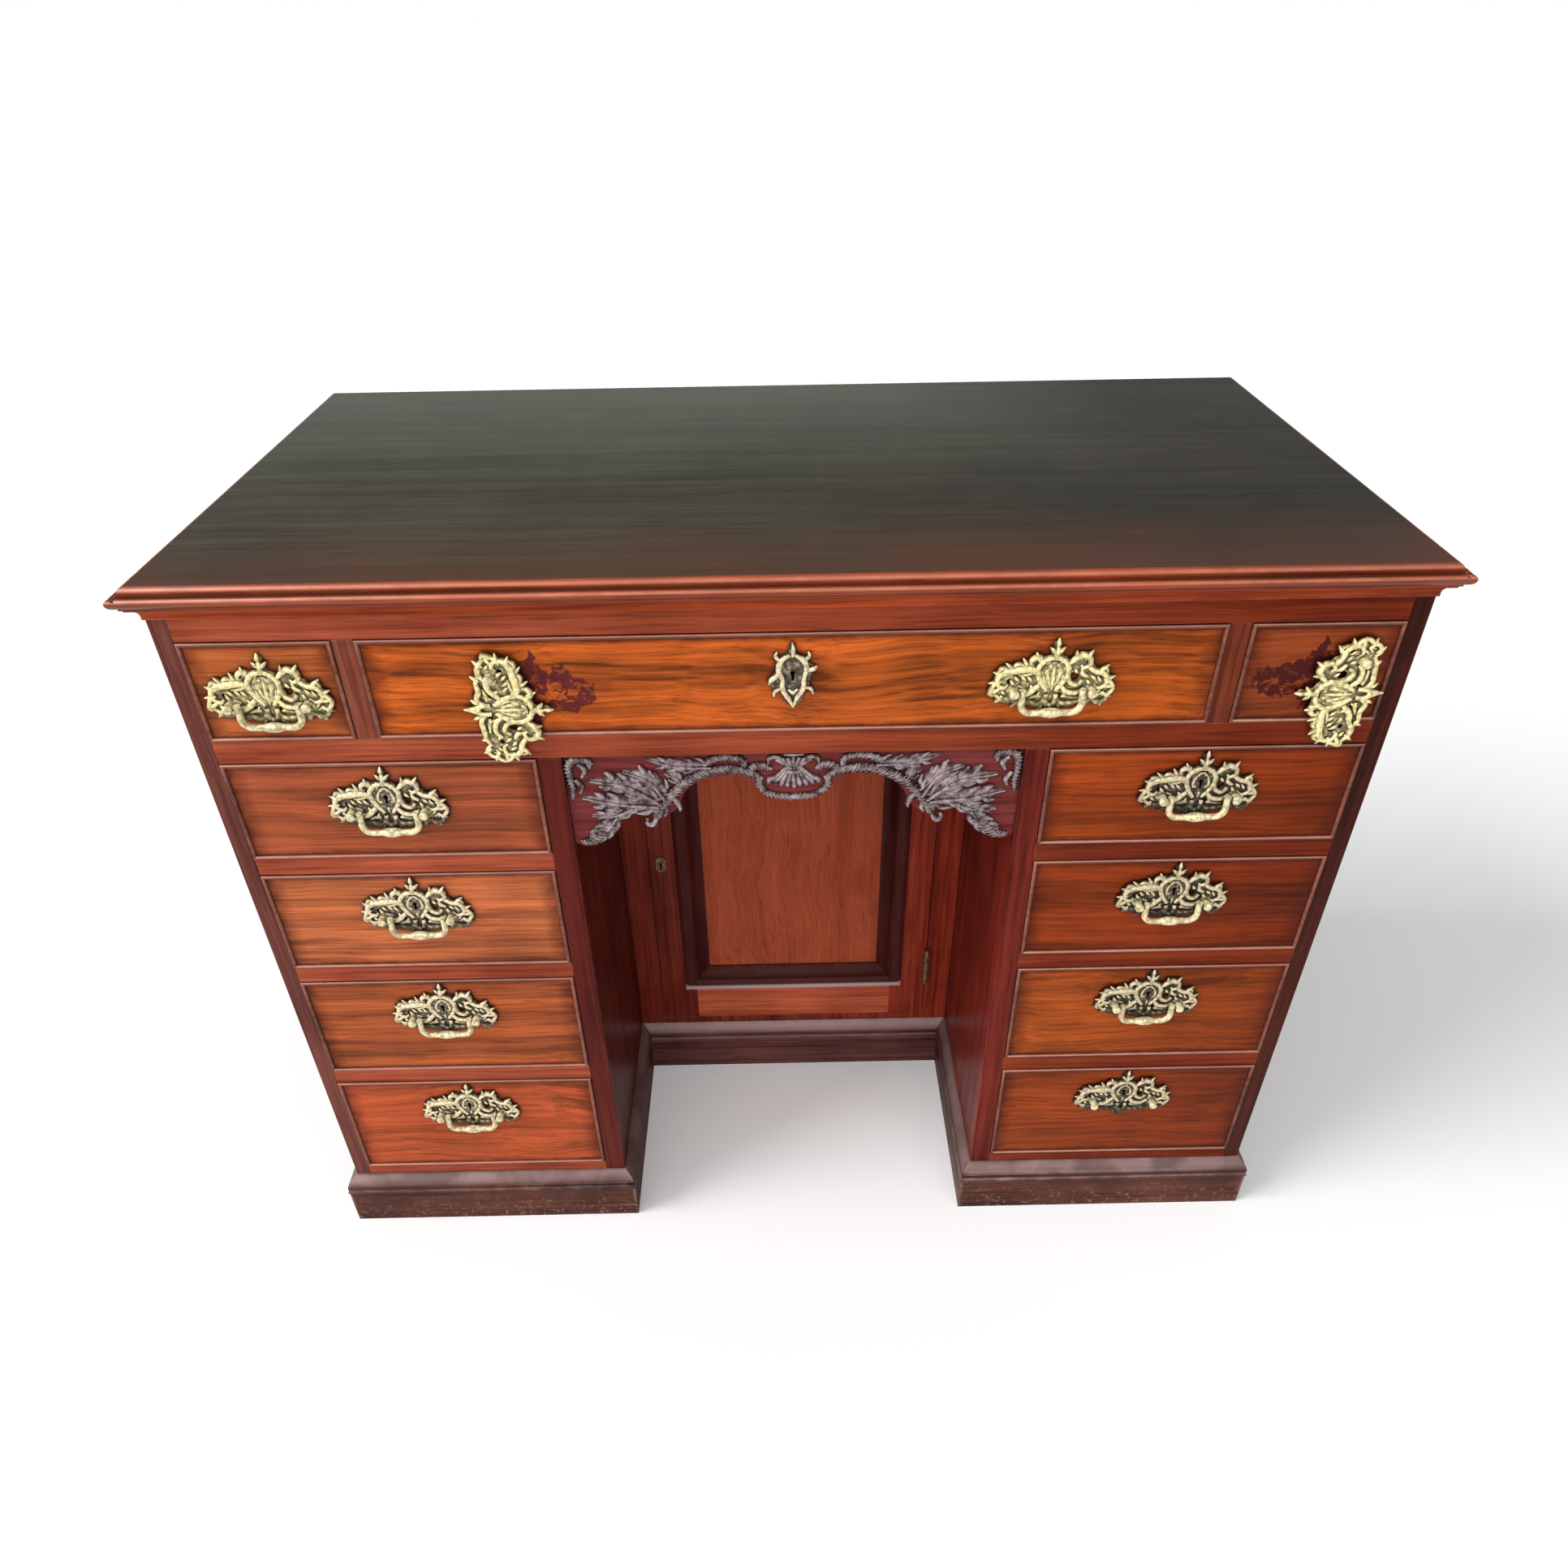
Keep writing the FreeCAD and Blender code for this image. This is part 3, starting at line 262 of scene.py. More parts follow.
def dress(name, materials, edge=0.0):
    """Finish a CAD piece: its materials, and arrises eased by that many millimetres."""
    piece = nodes[name]
    piece.data.materials.clear()
    for material in materials:
        piece.data.materials.append(material)
    if edge:
        weld = piece.modifiers.new("joined faces", "WELD")
        weld.merge_threshold = 0.002 * mm
        ease = piece.modifiers.new("eased arrises", "BEVEL")
        ease.width = edge * mm
        ease.segments = 2
        ease.limit_method = "ANGLE"
        ease.angle_limit = math.radians(40)
        ease.harden_normals = True
    return piece


def face_values(piece, value):
    """Columns x, y and z of a value of each face of a piece, its normal or its center."""
    flat = np.empty(len(piece.data.polygons) * 3)
    piece.data.polygons.foreach_get(value, flat)
    return flat.reshape(-1, 3).T


def choose_faces(piece, choice):
    """Give each face of a piece the material of that number or truth."""
    piece.data.polygons.foreach_set("material_index", choice.astype(np.int32))


# The pale colour on the plinth's upward faces is dust with a painted sheen, lighter in the kneehole.
plinth_wood = wood("worn plinth", (46, 22, 16), (104, 60, 48), along_x, (4.0, 0.0, 0.0), straight,
                   worn=(160, 136, 130), wear=0.9, edge_width=4.0, rough=1.3, dust_and_sheen_colour=(156, 130, 129),
                   gleam=0.2)
plinth_side_wood = wood("worn plinth sides", (40, 20, 16), (92, 52, 44), along_y, (7.0, 0.0, 0.0), straight,
                        worn=(160, 136, 130), wear=0.8, edge_width=4.0, rough=1.3, dust_and_sheen_colour=(128, 104, 102))
inner_plinth_wood = wood("worn plinth in the kneehole", (60, 32, 30), (124, 76, 72), along_x, (2.0, 0.0, 3.0),
                         straight, worn=(200, 172, 168), wear=0.9, edge_width=4.0, rough=1.3,
                         dust_and_sheen_colour=(206, 172, 174))
scuff_top = 48.0 * mm
scuff_full = 8.0 * mm
for material in (plinth_wood, plinth_side_wood):
    tree, place, colour = reopen(material)
    specks = spread(tree, noise(tree, place, 190.0, 4.0, 0.7), 0.56, 0.66, 0.0, 0.7)
    low_down = spread(tree, axis_of(tree, place, "Z"), scuff_top, scuff_full)
    scuffed = mix_colours(tree, calc(tree, "MULTIPLY", specks, low_down), colour, tint(156, 128, 108))
    smears = spread(tree, noise(tree, place, 22.0, 3.0), 0.44, 0.62, 0.0, 0.45)
    recolour(tree, mix_colours(tree, smears, scuffed, tint(52, 28, 24)))
for name, front_wood in (("plinth_left", plinth_wood), ("plinth_right", plinth_wood),
                         ("plinth_middle", inner_plinth_wood)):
    piece = dress(name, [front_wood, plinth_side_wood], 0.9)
    x, y, z = face_values(piece, "normal")
    choose_faces(piece, np.abs(x) > np.abs(y))

# Case sides and kneehole sides: wide upright mahogany boards, housed into the plinth and the top.
# Their front edges show as the stiles beside the drawers; the back is closed with plain upright boards.
along_z = (140.0, 140.0, 3.0)
# The right side's stile is painted darker than the left one, as painted shade.
left_wood = wood("left side", (66, 28, 24), (120, 68, 58), along_z, (11.0, 3.0, 0.0), straight,
                 worn=(190, 140, 120), edge_width=1.5)
right_wood = wood("right side", (40, 13, 8), (80, 32, 20), along_z, (4.0, 7.0, 0.0), straight,
                  worn=(150, 96, 78), edge_width=1.5)
side_wood = wood("broad faces of the sides", (60, 21, 12), (112, 50, 30), along_z, (11.0, 3.0, 0.0), 0.2)
for name, stile_wood in (("left_side", left_wood), ("right_side", right_wood)):
    piece = dress(name, [stile_wood, side_wood], 0.7)
    x, y, z = face_values(piece, "normal")
    choose_faces(piece, np.abs(x) > 0.9)
# The kneehole sides are painted lighter towards the right, as painted light.
knee_wood = wood("kneehole sides", (54, 12, 10), (100, 34, 26), along_z, (2.0, 8.0, 0.0), straight,
                 worn=(160, 108, 92), wear=0.4, edge_width=1.5, painted_falloff=((1.5, 1.35, 1.2), -0.15, 0.15))
for name in ("left_knee_side", "right_knee_side"):
    dress(name, [knee_wood], 0.7)
back_wood = wood("back boards", (96, 70, 46), (142, 108, 74), along_z, (0.0, 5.0, 0.0), rough=2.2)
back_board_count = 6
back_low, back_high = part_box("back_boards")
board_width = (back_high.x - back_low.x) / back_board_count
tree, place, colour = reopen(back_wood)
boards = calc(tree, "SUBTRACT", axis_of(tree, place, "X"), back_low.x)
boards = calc(tree, "DIVIDE", boards, board_width)
picked = add_node(tree, "ShaderNodeTexWhiteNoise", {"W": calc(tree, "FLOOR", boards)}, noise_dimensions="1D")
toned = vector_calc(tree, "MULTIPLY", colour, spread(tree, picked.outputs["Value"], 0.0, 1.0, 0.75, 1.1))
from_middle = calc(tree, "ABSOLUTE", calc(tree, "SUBTRACT", calc(tree, "FRACT", boards), 0.5))
joints = spread(tree, from_middle, 0.486, 0.494, 0.0, 0.85)
recolour(tree, mix_colours(tree, joints, toned, tint(34, 22, 13)))
dress("back_boards", [back_wood])

# Rails, partitions and dustboards: the frame that the drawers slide in, tenoned between the sides.
# The rails are mahogany faced, and the thin boards behind them are plain deal.
# Rails and partitions are painted darker towards the right, as painted shade, with a painted highlight on
# rounds.
rail_wood = wood("drawer rails", (122, 46, 28), (188, 94, 64), along_x, (6.0, 2.0, 9.0), straight,
                 worn=(196, 146, 124), edge_width=1.5, painted_falloff=((0.45, 0.27, 0.12), -0.4, 0.36))
partition_wood = wood("frieze partitions", (98, 44, 30), (158, 88, 68), along_z, (9.0, 1.0, 0.0), straight,
                      worn=(180, 128, 108), wear=0.4, edge_width=1.5, painted_falloff=((0.62, 0.4, 0.25), -0.4, 0.4))
deal_wood = wood("plain boards", (100, 73, 48), (146, 111, 76), along_x, (0.0, 5.0, 2.0), rough=2.2)
for name in ("frieze_rails", "pedestal_rails"):
    dress(name, [rail_wood], 0.5)
dress("frieze_partitions", [partition_wood], 0.5)
dress("dustboards", [deal_wood])

# Apron: a thin mahogany board between the pedestals, its lower edge sawn into arches and cusps.
# Rococo scrolls and acanthus are carved on it in low relief, dark in the hollows and rubbed grey on top;
# the deepest hollows are darkened further with painted shade.
apron_wood = wood("apron ground", (86, 30, 30), (134, 60, 58), along_x, (3.0, 3.0, 5.0), straight,
                  worn=(150, 110, 102), wear=0.6, edge_width=1.5, rough=1.4)
dress("apron_board", [apron_wood], 0.6)


def smooth_path(points, steps=6):
    """Points of an even curve through the given ones; each column, such as a width, is eased alike."""
    fixed = np.array(points, float)
    ends = np.vstack([2 * fixed[0] - fixed[1], fixed, 2 * fixed[-1] - fixed[-2]])
    share = np.linspace(0, 1, steps, endpoint=False)[:, None]
    curve = []
    for before, first, second, after in zip(ends, ends[1:], ends[2:], ends[3:]):
        curve.append(0.5 * (2 * first + (second - before) * share
                            + (2 * before - 5 * first + 4 * second - after) * share ** 2
                            + (3 * first - before - 3 * second + after) * share ** 3))
    return np.vstack(curve + [fixed[-1:]])


def directions(path):
    """Unit run of a path at each of its points, seen from the front."""
    run = np.gradient(path[:, :2], axis=0)
    return run / np.maximum(np.linalg.norm(run, axis=1, keepdims=True), 1e-9)


def ridge(points, crest, sides=9):
    """Rounded ridge along (x, z, half width) points on y = 0: rings of points, and how high each point is."""
    path = smooth_path(points)
    run = directions(path)
    half = np.maximum(path[:, 2], 0.12)
    turn = np.linspace(0, np.pi, sides)
    across = half[:, None] * np.cos(turn)
    out = crest * half[:, None] * np.sin(turn)
    x = path[:, :1] - run[:, 1:] * across
    z = path[:, 1:2] + run[:, :1] * across
    rings = np.stack([x, -out, z], axis=2)
    return rings, np.broadcast_to(np.sin(turn), x.shape)


# Painted shade below a level on a relief: how fast it fades in, and the least height left in it.
shade_fade = 5.0
least_in_shade = 0.15


def relief_mesh(name, strokes, shaded_below=None):
    """One mesh of many ridges, each (points, crest), in millimetres, with its height kept as an attribute.
    Below the shaded_below level the height counts for little, so the brass there is painted dark as shade."""
    points, faces, heights = [], [], []
    for stroke, crest in strokes:
        rings, height = ridge(stroke, crest)
        count, sides = rings.shape[:2]
        start = len(points)
        points.extend(rings.reshape(-1, 3) * mm)
        if shaded_below is not None:
            height = height * np.clip((rings[:, :, 2] - shaded_below) / shade_fade, least_in_shade, 1.0)
        heights.extend(height.reshape(-1))
        for step in range(count - 1):
            first = start + step * sides
            for side in range(sides):
                after = (side + 1) % sides
                faces.append((first + side, first + after, first + sides + after, first + sides + side))
        faces.append(tuple(range(start + sides - 1, start - 1, -1)))
        faces.append(tuple(range(start + (count - 1) * sides, start + count * sides)))
    mesh = bpy.data.meshes.new(name)
    mesh.from_pydata(points, [], faces)
    relief = mesh.attributes.new("relief", "FLOAT", "POINT")
    relief.data.foreach_set("value", np.array(heights, np.float32))
    mesh.polygons.foreach_set("use_smooth", np.ones(len(faces), bool))
    mesh.set_sharp_from_angle(angle=math.radians(60))
    return mesh


def place_piece(name, mesh, material, body, matrix):
    """New visible piece with that mesh, riding on a body of the frame."""
    piece = bpy.data.objects.new(name, mesh)
    bpy.context.scene.collection.objects.link(piece)
    if material.name not in mesh.materials:
        mesh.materials.append(material)
    piece.matrix_world = matrix
    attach(piece, body)
    return piece


def acanthus(root, tip, width, bow, lobes):
    """Carved leaf from root to tip: a broad body, a middle rib, and lobes that fan out to both sides."""
    first, last = np.array(root, float), np.array(tip, float)
    chord = last - first
    side = np.array([-chord[1], chord[0]])
    middle = (first + last) / 2 + side * bow
    spine = smooth_path([(*first, 0), (*middle, 0), (*last, 0)], 8)[:, :2]
    side /= np.linalg.norm(side)
    forward = chord / np.linalg.norm(chord)
    strokes = [([(*first, width * 0.4), (*middle, width * 0.78), (*last, width * 0.14)], 0.4),
               ([(*first, width * 0.16), (*middle, width * 0.15), (*last, width * 0.07)], 3.0)]
    for lobe in range(lobes):
        share = (lobe + 0.3) / lobes
        start = spine[int(share * (len(spine) - 3))]
        reach = width * (1.25 - 0.45 * share)
        for turn in (-1, 1):
            knee = start + (side * turn * 0.5 + forward * 0.35) * reach
            end = start + (side * turn * 0.68 + forward * 0.95) * reach
            strokes.append(([(*start, width * 0.14), (*knee, width * 0.27), (*end, width * 0.12)], 1.25))
    return strokes


def leafy_scroll(points, crest, pitch):
    """Carved scroll with a row of slanting leaf cuts along it, one every few millimetres."""
    strokes = [(points, crest)]
    path = smooth_path(points)
    run = directions(path)
    travelled = np.concatenate([[0], np.cumsum(np.linalg.norm(np.diff(path[:, :2], axis=0), axis=1))])
    for mark in np.arange(pitch, travelled[-1], pitch):
        at = np.searchsorted(travelled, mark)
        centre, half, ahead = path[at, :2], path[at, 2], run[at]
        across = np.array([-ahead[1], ahead[0]])
        begin = centre - (across + ahead * 0.6) * half
        end = centre + (across * 1.05 + ahead * 0.6) * half
        top = crest * half * 1.35
        strokes.append(([(*begin, 0.8), (*centre, 1.15), (*end, 0.7)], top / 1.15))
    return strokes


right_scrolls = (
    leafy_scroll([(26, -27, 2.4), (34, -21, 3.6), (46, -17, 4.0), (60, -16.5, 4.2), (75, -20, 4.2),
                  (89, -28, 4.4), (100, -38, 4.4), (108, -49, 4.0), (113, -58, 3.4), (117, -66, 2.4)],
                 0.85, 4.2)
    + leafy_scroll([(40, -15, 2.2), (42, -8, 3.2), (51, -4.2, 3.4), (60, -4, 3.4), (70, -8, 3.2),
                    (74, -14, 2.2)], 1.0, 4.0)
    + leafy_scroll([(0, -45.5, 3.4), (12, -44.5, 3.2), (22, -41, 3.0), (28, -34, 3.0), (29, -26, 2.6)],
                   0.8, 3.6)
    + leafy_scroll([(18, -17, 2.0), (25, -13, 3.2), (33, -14, 3.4), (38, -19, 2.4)], 1.0, 3.4)
    + leafy_scroll([(169, -13, 1.6), (168, -7, 3.0), (174, -3.6, 3.4), (182, -4.4, 3.6), (186, -11, 3.6),
                    (186, -22, 3.2), (184.5, -33, 2.6), (186, -43, 1.4)], 1.0, 3.6)
    + leafy_scroll([(149, -60, 3.0), (156, -70, 4.6), (164, -80, 5.0), (173, -88, 4.4), (182, -90, 2.6)],
                   0.8, 4.2)
    + leafy_scroll([(132, -56, 2.2), (140, -54, 3.4), (149, -56, 3.8), (157, -63, 3.6), (162, -71, 2.6)],
                   0.9, 4.0)
    + [([(178, -8, 2.4), (173, -14, 3.0), (176, -22, 1.6)], 1.3),
       ([(182, -24, 2.2), (177, -31, 2.8), (179, -38, 1.4)], 1.2),
       ([(117, -66, 2.0), (121, -72, 3.0), (125.5, -70, 2.6), (124.5, -65, 1.6)], 1.2),
       ([(103, -42, 3.0), (99, -48, 3.0), (96.5, -55, 2.2), (97, -59, 1.0)], 1.1),
       ([(8, -9, 1.6), (14, -4.5, 2.6), (20, -6.5, 2.2), (21, -12, 1.2)], 1.3)])
right_leaves = (
    acanthus((68, -14), (122, -5), 9.0, -0.05, 4) + acanthus((108, -46), (142, -17), 12.0, 0.16, 3)
    + acanthus((112, -50), (170, -26), 13.0, 0.12, 4) + acanthus((114, -52), (178, -43), 12.5, -0.02, 4)
    + acanthus((136, -54), (172, -62), 10.0, -0.1, 3) + acanthus((150, -62), (176, -84), 11.0, -0.12, 3)
    + acanthus((106, -40), (120, -16), 9.0, -0.1, 2) + acanthus((94, -30), (106, -17), 7.0, 0.1, 2)
    + acanthus((108, -50), (119, -64), 9.0, 0.1, 2))
apron_strokes = []
for rib in range(9):
    lean = (rib - 4) / 4
    droop = 5 * abs(lean)
    apron_strokes.append(([(lean * 6, -15, 1.2), (lean * 14, -24, 2.4), (lean * 20, -32 + droop, 3.2),
                           (lean * 21, -36 + droop, 1.8)], 1.25))
for rib in range(7):
    lean = (rib - 3) / 3
    droop = 2.5 * abs(lean)
    apron_strokes.append(([(lean * 4, -16, 1.2), (lean * 11, -9, 2.4), (lean * 15, -4.5 - droop, 2.2)], 1.3))
apron_strokes.append(([(-8, -2.6, 1.4), (0, -2.4, 2.3), (8, -2.6, 1.4)], 1.6))
apron_strokes.append(([(-6, -19, 1.8), (0, -20, 3.0), (6, -19, 1.8)], 1.5))
for stroke, crest in right_scrolls + right_leaves:
    apron_strokes.append((stroke, crest))
    apron_strokes.append(([(-x, z, half) for x, z, half in stroke], crest))
carving_mesh = relief_mesh("apron carving", apron_strokes)
carving_material, tree, shader = new_material("carved mahogany")
height = add_node(tree, "ShaderNodeAttribute", attribute_name="relief").outputs["Fac"]
patches = noise(tree, here(tree), 160.0, 4.0, 0.65)
rubbed_and_gleaming = calc(tree, "MULTIPLY", height, spread(tree, patches, 0.3, 0.65, 0.5, 1.1))
rubbed_and_gleaming = spread(tree, rubbed_and_gleaming, 0.5, 1.05)
hollow = mix_colours(tree, spread(tree, patches, 0.35, 0.65), tint(50, 24, 26), tint(96, 62, 62))
carved = mix_colours(tree, rubbed_and_gleaming, hollow, tint(180, 164, 166))
# Painted shade darkens the deepest hollows of the carving.
carved = mix_colours(tree, spread(tree, open_air(tree, 5.0, 6), 0.25, 0.9), tint(26, 10, 10), carved)
tree.links.new(carved, shader.inputs["Base Color"])
tree.links.new(spread(tree, rubbed_and_gleaming, 0.0, 1.0, 0.6, 0.42), shader.inputs["Roughness"])
shader.inputs["Specular IOR Level"].default_value = 0.3
apron_low, apron_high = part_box("apron_board")
carving = place_piece("apron_scrolls_and_leaves", carving_mesh, carving_material, "case",
                      Matrix.Translation((0, apron_low.y, apron_high.z)))
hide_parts("apron_carving")

# Bed moulding and top: a hollow under the top, planted in three mitred lengths, and one wide board.
# The top is French polished almost black. Its greenish olive is partly its finish and partly a painted
# reflection, with more painted reflection at the back left; it is painted darker to the right as shade and
# turns redder towards the front. Its moulded edge is rubbed back to red along the arrises, with a strong
# painted highlight on its rounds; the edge and the bed moulding are painted darker to the right as shade.
bed_wood = wood("bed moulding", (130, 50, 24), (204, 92, 48), along_x, (1.0, 6.0, 2.0), straight,
                worn=(206, 156, 130), edge_width=1.5, painted_falloff=((0.75, 0.6, 0.5), -0.4, 0.4))
bed_return_wood = wood("returns of the bed moulding", (68, 25, 15), (122, 55, 34), along_y, (1.0, 6.0, 2.0),
                       straight, worn=(176, 124, 100), edge_width=1.5)
piece = dress("bed_moulding", [bed_wood, bed_return_wood], 0.4)
x, y, z = face_values(piece, "normal")
choose_faces(piece, np.abs(x) > np.abs(y))
# Greenish olive, partly the finish and partly a painted reflection, painted darker to the right as shade.
top_wood = wood("polished top", (38, 36, 24), (65, 62, 45), along_x, (8.0, 1.0, 3.0), 0.2,
                worn=(186, 116, 88), polish=0.09, rough=0.9, painted_falloff=((0.35, 0.28, 0.2), -0.1, 0.4))
tree, place, colour = reopen(top_wood)
depth = axis_of(tree, place, "Y")
# Redder towards the front, in patches.
redder_front_patches = spread(tree, noise(tree, place, 7.0, 3.0), 0.3, 0.6, 0.4, 0.9)
redder_front = calc(tree, "MULTIPLY", spread(tree, depth, -0.12, -0.24), redder_front_patches)
colour = mix_colours(tree, redder_front, colour, tint(84, 46, 28))
# Painted reflection: a greenish sheen at the back left.
reflected_left = spread(tree, axis_of(tree, place, "X"), 0.34, 0.1, 0.0, 0.6)
painted_reflection = calc(tree, "MULTIPLY", spread(tree, depth, -0.04, 0.22), reflected_left)
recolour(tree, mix_colours(tree, painted_reflection, colour, tint(84, 93, 80)))
# The edge's rounds take a strong painted highlight.
edge_wood = wood("moulded edge of the top", (108, 42, 18), (172, 80, 44), along_x, (2.0, 5.0, 1.0), straight,
                 worn=(202, 122, 94), edge_width=1.5, polish=0.3, painted_falloff=((0.8, 0.65, 0.55), -0.4, 0.4),
                 gleam=0.85)
piece = dress("top_board", [top_wood, edge_wood], 0.7)
x, y, z = face_values(piece, "normal")
choose_faces(piece, z < 0.99)

# Cupboard: a fixed frame and a framed door with a sunk panel at the back of the kneehole.
# The panel's grain stands upright, and a bold moulding is mitred round it; inside are plain boards.
# The frame is painted lighter towards the right and the door's rails lighter than the frame, as painted
# light;
# the moulding's sill is painted pale, dust with a painted sheen.
frame_wood = wood("cupboard frame", (84, 24, 16), (140, 56, 40), along_z, (14.0, 2.0, 1.0), straight,
                  worn=(170, 120, 104), wear=0.4, edge_width=1.5, painted_falloff=((1.7, 1.4, 1.2), 0.0, 0.15))
# The door's rails are painted lighter than the frame, as painted light.
door_rail_wood = wood("door rails", (146, 58, 36), (212, 106, 72), along_x, (3.0, 4.0, 1.0), straight,
                      worn=(200, 150, 130), wear=0.4, edge_width=1.5)
panel_wood = wood("door panel", (154, 66, 39), (184, 86, 54), along_z, (5.0, 5.0, 0.0), 0.7)
moulding_wood = wood("door moulding", (48, 14, 13), (84, 32, 28), along_z, (4.0, 9.0, 2.0), straight,
                     worn=(120, 76, 70), dust_and_sheen_colour=(72, 34, 32), gleam=0.2)
# The moulding's sill is painted pale, dust with a painted sheen.
sill_sheen_top = 10.0 * mm
sill_sheen_full = 7.0 * mm
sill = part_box("door_moulding")[0].z
tree, place, colour = reopen(moulding_wood)
sill_dust_and_sheen = spread(tree, axis_of(tree, place, "Z"), sill + sill_sheen_top, sill + sill_sheen_full, 0.0, 0.85)
recolour(tree, mix_colours(tree, sill_dust_and_sheen, colour, tint(206, 180, 184)))
dress("cupboard_frame", [frame_wood], 0.5)
dress("cupboard_shelves", [deal_wood])
piece = dress("door_frame", [frame_wood, door_rail_wood], 0.5)
panel_lap = 12.0 * mm
panel_low, panel_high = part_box("door_panel")
x, y, z = face_values(piece, "center")
above_or_below = (z < panel_low.z + panel_lap) | (z > panel_high.z - panel_lap)
choose_faces(piece, (np.abs(x) < panel_high.x) & above_or_below)
dress("door_panel", [panel_wood])
dress("door_moulding", [moulding_wood], 0.4)

# Drawers: fronts of ribbon striped mahogany with the grain along them, cock beads let in round the edge.
# The linings behind are pale quartered oak; each front has its own board, redder below and yellower above.
# On two fronts the wood is stained dark where a plate sat before it slipped. The fronts on the right are
# painted darker, partly their own colour and partly painted shade, and fade darker to their right, as does
# the long one, as painted shade. Each front is painted darker along its beads as shade and round its plates
# with old polish and painted shade, and its beads take a painted highlight on their rounds.
lining_wood = wood("drawer linings", (128, 96, 62), (176, 140, 98), along_y, (0.0, 0.0, 4.0), polish=0.1,
                   rough=2.0)
# The beads' rounds take a strong painted highlight.
bead_wood = wood("cock beads", (84, 36, 24), (150, 84, 62), along_x, (12.0, 7.0, 3.0), straight,
                 worn=(208, 148, 128), wear=0.4, edge_width=1.6, polish=0.4, painted_falloff=((0.8, 0.7, 0.6), -0.4, 0.4),
                 gleam=0.8)

# The ghost group draws the outline of a handle plate round its seat, as lobes less the piercings.
ghost_tree, given, result = start_group("Ghost of a plate", [("Seat", "Vector", (0.0, 0.0, 0.0))],
                                        [("Mask", "Float")])
plate_lobes = [(0, 14, 13, 17), (-22, 9, 15, 10), (-39, 5, 9, 10), (22, 15, 9, 14), (36, 4, 12, 11),
               (-24, -6, 15, 6), (25, -7, 15, 6), (0, -11, 8, 14), (1, 33, 3, 8)]
plate_holes = [(16, 11, 5, 5), (-34, 4, 5, 3), (31, 5, 4, 3), (-6, 3, 3, 3), (5, 0, 3, 3), (27, -5, 3, 2),
               (-20, -1, 4, 2)]
ragged_reach = 16.0 * mm
mark_place = vector_calc(ghost_tree, "SUBTRACT", here(ghost_tree), given["Seat"])
ragged = sway(ghost_tree, mark_place, 170.0, 2.0, (ragged_reach, 0.0, ragged_reach))
mark_place = vector_calc(ghost_tree, "ADD", mark_place, ragged)


def in_ovals(ovals):
    """1 inside any of the ovals, given as centre and half sizes in millimetres, and 0 well outside."""
    inside = 0.0
    for u, v, wide, tall in ovals:
        offset = vector_calc(ghost_tree, "SUBTRACT", mark_place, (u * mm, 0.0, v * mm))
        scaled = vector_calc(ghost_tree, "MULTIPLY", offset, (1 / (wide * mm), 0.0, 1 / (tall * mm)))
        reach = add_node(ghost_tree, "ShaderNodeVectorMath", {0: scaled}, operation="LENGTH").outputs["Value"]
        inside = calc(ghost_tree, "MAXIMUM", inside, spread(ghost_tree, reach, 1.06, 0.94))
    return inside


pierced = calc(ghost_tree, "MULTIPLY", in_ovals(plate_holes), 0.8)
kept = spread(ghost_tree, calc(ghost_tree, "SUBTRACT", in_ovals(plate_lobes), pierced), 0.0, 1.0)
lace = spread(ghost_tree, noise(ghost_tree, mark_place, 150.0, 2.0), 0.36, 0.46, 0.25, 0.9)
ghost_tree.links.new(calc(ghost_tree, "MULTIPLY", kept, lace), result["Mask"])

# The border group paints the strip along the beads darker, as painted shade.
border_shade_tree, given, result = start_group(
    "Dark border of a front", [("Low", "Vector", (0.0, 0.0, 0.0)), ("High", "Vector", (0.0, 0.0, 0.0))],
    [("Mask", "Float")])
end_fade, end_full = 19.0 * mm, 5.0 * mm
long_fade, long_full = 9.0 * mm, 4.0 * mm
place = here(border_shade_tree)
from_low = vector_calc(border_shade_tree, "SUBTRACT", place, given["Low"])
from_high = vector_calc(border_shade_tree, "SUBTRACT", given["High"], place)
nearest_x, nearest_z = (calc(border_shade_tree, "MINIMUM", axis_of(border_shade_tree, from_low, axis),
                             axis_of(border_shade_tree, from_high, axis)) for axis in "XZ")
ends = spread(border_shade_tree, nearest_x, end_fade, end_full)
edges = spread(border_shade_tree, nearest_z, long_fade, long_full)
patches = spread(border_shade_tree, noise(border_shade_tree, place, 60.0, 3.0), 0.3, 0.65, 0.3, 0.8)
border_shade = calc(border_shade_tree, "MULTIPLY", calc(border_shade_tree, "MAXIMUM", ends, edges), patches)
border_shade_tree.links.new(border_shade, result["Mask"])

# Right-hand fronts are painted darker, partly their own colour and partly painted shade.
front_tints = {
    "frieze_left": (176, 92, 48), "frieze_long": (191, 91, 34), "frieze_right": (138, 62, 28),
    "left_1": (156, 78, 48), "left_2": (184, 100, 60), "left_3": (168, 84, 46), "left_4": (172, 78, 42),
    "right_1": (148, 62, 20), "right_2": (136, 54, 18), "right_3": (160, 74, 26), "right_4": (146, 62, 22)}
front_figures = {"left_4": 0.8, "right_4": 0.5, "left_3": 0.3, "right_3": 0.6, "frieze_long": 0.5}
front_darks = {"frieze_long": 0.56}
front_falloffs = {"right_%d" % row: ((0.6, 0.5, 0.35), 0.24, 0.46) for row in range(1, 5)}
front_falloffs["frieze_long"] = ((0.72, 0.7, 0.55), 0.05, 0.3)
plate_rise = 42.0 * mm
long_low, long_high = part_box("handle_long_right")
small_low, small_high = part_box("handle_frieze_left")
seat_height = long_high.z - plate_rise
